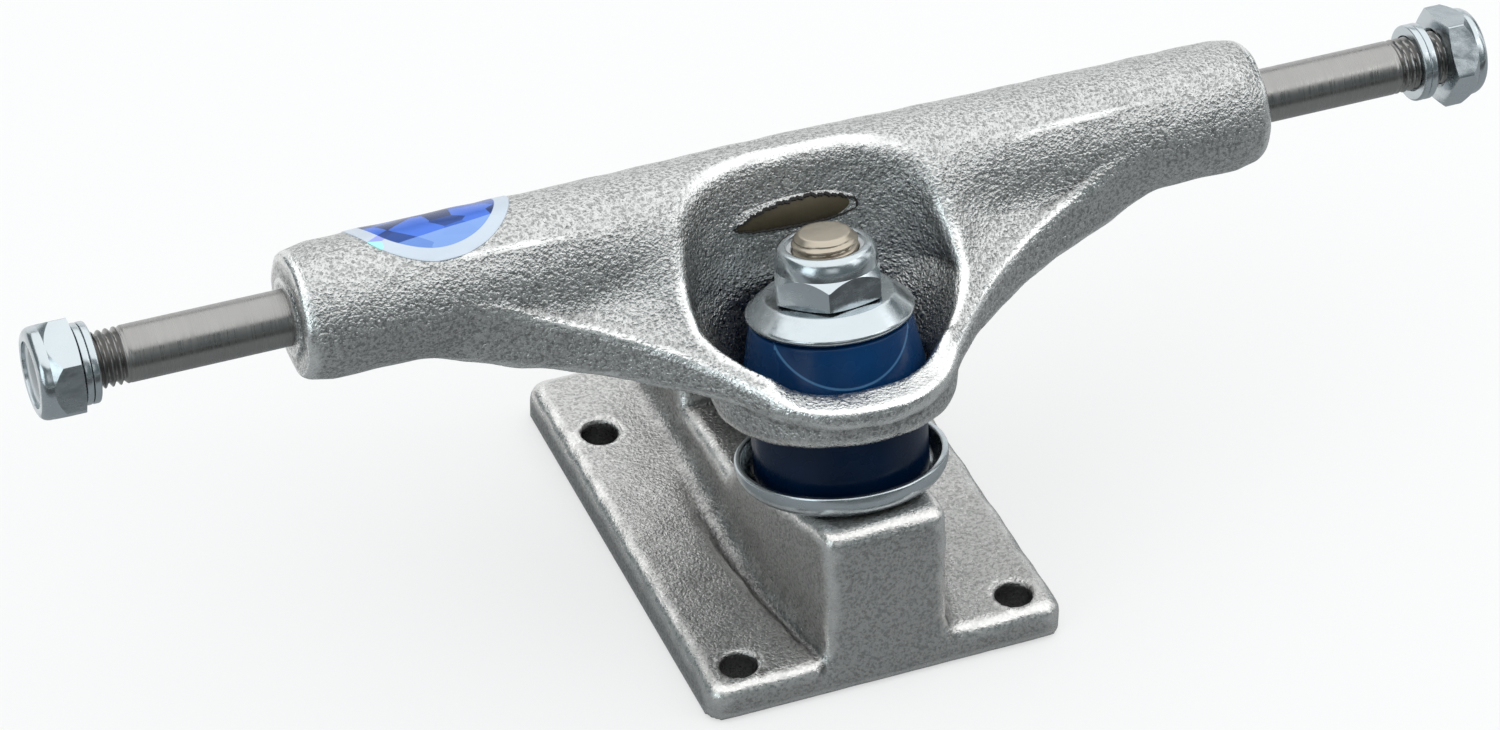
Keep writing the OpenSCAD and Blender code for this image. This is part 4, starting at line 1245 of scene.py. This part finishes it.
class TRUCK_OT_cup_washers(bpy.types.Operator):
    """The two pressed cup washers of the kingpin"""

    bl_idname = "truck.cup_washers"
    bl_label = "Cup washers"

    def execute(self, context):
        zinc = zinc_plate()
        lower = eased([(BORE_R, 0), (12.4, 0), (14.1, 1.2), (14.8, 2.5), (14.85, 3.9), (14.5, 4.08),
                       (13.9, 4.0), (13.7, 2.7), (12.75, 1.3), (BORE_R, 1.3)],
                      [0.15, 1.2, 0.9, 0.7, 0.25, 0.25, 0.3, 0.8, 0.8, 0.15])
        points, faces = turned_section(lower, kingpin_point(SEAT_T), KINGPIN_AXIS, 192)
        put("cup_washer_lower", points, faces, zinc, "base", "plated_steel", ["lower_cup_washer"])
        upper = eased([(BORE_R, 0), (8.3, 0), (10.35, -1.5), (10.35, -1.9), (11.3, -1.9), (11.65, -1.4),
                       (11.6, -0.95), (9.1, 1.18), (8.8, 1.3), (BORE_R, 1.3)],
                      [0.15, 0.6, 0.2, 0.15, 0.25, 0.25, 0.3, 0.35, 0.3, 0.15])
        points, faces = turned_section(upper, kingpin_point(UPPER_WASHER_T), KINGPIN_AXIS, 192)
        put("cup_washer_upper", points, faces, zinc, "base", "plated_steel", ["upper_cup_washer"])
        return {"FINISHED"}


class TRUCK_OT_nuts(bpy.types.Operator):
    """The lock nuts of the kingpin and the axle, with their nylon rings"""

    bl_idname = "truck.nuts"
    bl_label = "Lock nuts"

    def execute(self, context):
        zinc = zinc_plate()
        nylon = moulded_plastic("nylon_ring", context.scene.truck_hardware.nylon, 0.35)
        jobs = [("kingpin", KINGPIN_NUT, kingpin_point(NUT_T), KINGPIN_AXIS, 10, (1, 0, 0),
                 "kingpin_nut", "kingpin_nut_insert"),
                ("left_axle", AXLE_NUT, (-LEFT_NUT_X, AXLE_Y, AXLE_Z), (-1, 0, 0), 8, (0, 0, 1),
                 "left_axle_nut", "left_nut_insert"),
                ("right_axle", AXLE_NUT, (RIGHT_NUT_X, AXLE_Y, AXLE_Z), (1, 0, 0), 22, (0, 0, -1),
                 "right_axle_nut", "right_nut_insert")]
        for name, sizes, origin, axis, turn, start, node, ring in jobs:
            height, mouth, bore = sizes[4:]
            points, faces = nut_surface(*sizes, origin, axis, math.radians(turn), start)
            nut = put(name + "_nut_steel", points, faces, zinc, node, "plated_steel", [node], sharp=28)
            bevel = nut.modifiers.new("edges", "BEVEL")
            bevel.width = 0.00012
            bevel.segments = 2
            bevel.limit_method = "ANGLE"
            bevel.angle_limit = math.radians(28)
            section = eased([(bore - 0.1, height - 1.65), (mouth + 0.2, height - 1.65),
                             (mouth + 0.2, height - 0.6), (bore - 0.1, height - 0.7)], 0.2)
            points, faces = turned_section(section, origin, axis, start=start)
            put(name + "_nut_ring", points, faces, nylon, node, "nylon", [ring])
        return {"FINISHED"}


class TRUCK_OT_speed_washers(bpy.types.Operator):
    """The thin washers beside the axle nuts"""

    bl_idname = "truck.speed_washers"
    bl_label = "Speed washers"

    def execute(self, context):
        zinc = zinc_plate()
        bore_r, rim_r, thickness, step = 4.07, 5.55, 1.02, 1.05
        section = eased([(bore_r, 0), (rim_r, 0), (rim_r, thickness), (bore_r, thickness)],
                        [0.1, 0.35, 0.15, 0.1])
        for side, name, outer in ((-1, "left", LEFT_NUT_X - 0.2), (1, "right", RIGHT_NUT_X - 2)):
            for place, x in (("inner", outer - 2 * step), ("outer", outer - step)):
                node = name + "_" + place + "_washer"
                points, faces = turned_section(section, (side * x, AXLE_Y, AXLE_Z), (side, 0, 0),
                                               start=(0, 0, 1))
                put(node + "_steel", points, faces, zinc, node, "plated_steel", [node])
        return {"FINISHED"}


class TRUCK_OT_pivot_cup(bpy.types.Operator):
    """Finish of the pivot cup"""

    bl_idname = "truck.pivot_cup"
    bl_label = "Pivot cup"

    def execute(self, context):
        cup = moulded_plastic("cup_moulded", context.scene.truck_rubber.cup, 0.45)
        dress("pivot_cup", cup)
        return {"FINISHED"}


def sticker_surface(radius, turn, columns=120):
    """A disc wrapped on the hanger's tube, with its rim turned down: a point (u, v) of the flat
    disc goes to x + u at the angle turn + v / TUBE_R, and then outward until the hanger's field
    there is its lift. Returns points, faces and the flat places of the points."""
    flat_rows, thickness = 26, 0.11
    rho = np.concatenate([np.linspace(0.4, radius - 0.1, flat_rows), [radius - 0.03, radius, radius]])
    lift = np.concatenate([np.full(flat_rows, thickness), [0.09, 0.05, -0.2]])[:, None] * np.ones(columns)
    a = full_turn(columns)
    u, v = rho[:, None] * np.cos(a), rho[:, None] * np.sin(a)
    place = round_axle(STICKER_X + u, TUBE_R, turn + v / TUBE_R)
    out = np.stack([0 * u, -np.cos(turn + v / TUBE_R), np.sin(turn + v / TUBE_R)], -1)
    for _ in range(4):
        place = place + out * (lift - hanger_field(*np.moveaxis(place, -1, 0)))[..., None]
    points = np.concatenate([place.reshape(-1, 3), place[0].mean(0, keepdims=True)])
    flat = np.concatenate([np.stack([u, v], -1).reshape(-1, 2), [[0, 0]]])
    rows = len(rho)
    j = np.arange(columns)
    faces = wrap_faces(rows, columns, False)[:, ::-1].tolist()
    faces += np.stack([j, (j + 1) % columns, np.full(columns, rows * columns)], 1).tolist()
    return points, faces, flat


class TRUCK_OT_sticker(bpy.types.Operator):
    """Round foil sticker on the hanger's tube"""

    bl_idname = "truck.sticker"
    bl_label = "Sticker"

    def execute(self, context):
        s = context.scene.truck_sticker
        points, faces, flat = sticker_surface(s.radius / MM, s.turn)
        vinyl = foil("foil_vinyl", s.blue, s.pale, s.radius)
        piece = put("foil_sticker", points, faces, vinyl, "hanger", "sticker_vinyl", ["sticker"], sharp=60)
        layer = piece.data.uv_layers.new(name="foil")
        index = np.empty(len(piece.data.loops), int)
        piece.data.loops.foreach_get("vertex_index", index)
        layer.data.foreach_set("uv", (flat * MM)[index].ravel())
        return {"FINISHED"}


class TRUCK_PT_panel(bpy.types.Panel):
    """Lists the pieces and their settings"""

    bl_label = "Skateboard truck"
    bl_idname = "TRUCK_PT_panel"
    bl_space_type = "VIEW_3D"
    bl_region_type = "UI"
    bl_category = "Truck"

    def draw(self, context):
        for operator in OPERATORS:
            self.layout.operator(operator.bl_idname)
        for group in GROUPS:
            box = self.layout.box()
            settings = getattr(context.scene, group)
            for name in GROUPS[group].__annotations__:
                box.prop(settings, name)


OPERATORS = [TRUCK_OT_stage, TRUCK_OT_baseplate, TRUCK_OT_hanger, TRUCK_OT_axle, TRUCK_OT_kingpin,
             TRUCK_OT_bushings, TRUCK_OT_cup_washers, TRUCK_OT_nuts, TRUCK_OT_speed_washers,
             TRUCK_OT_pivot_cup, TRUCK_OT_sticker]
GROUPS = {"truck_castings": TruckCastings, "truck_hardware": TruckHardware, "truck_rubber": TruckRubber,
          "truck_sticker": TruckSticker, "truck_stage": TruckStage}


def register():
    """Registers the settings, the operators and the panel."""
    for name, group in GROUPS.items():
        bpy.utils.register_class(group)
        setattr(bpy.types.Scene, name, PointerProperty(type=group))
    for operator in OPERATORS:
        bpy.utils.register_class(operator)
    bpy.utils.register_class(TRUCK_PT_panel)


def unregister():
    """Takes them away again, in the opposite order."""
    bpy.utils.unregister_class(TRUCK_PT_panel)
    for operator in reversed(OPERATORS):
        bpy.utils.unregister_class(operator)
    for name, group in GROUPS.items():
        delattr(bpy.types.Scene, name)
        bpy.utils.unregister_class(group)


def main():
    """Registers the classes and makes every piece."""
    register()
    for operator in OPERATORS:
        group, name = operator.bl_idname.split(".")
        getattr(getattr(bpy.ops, group), name)()


if __name__ == "__main__":
    main()
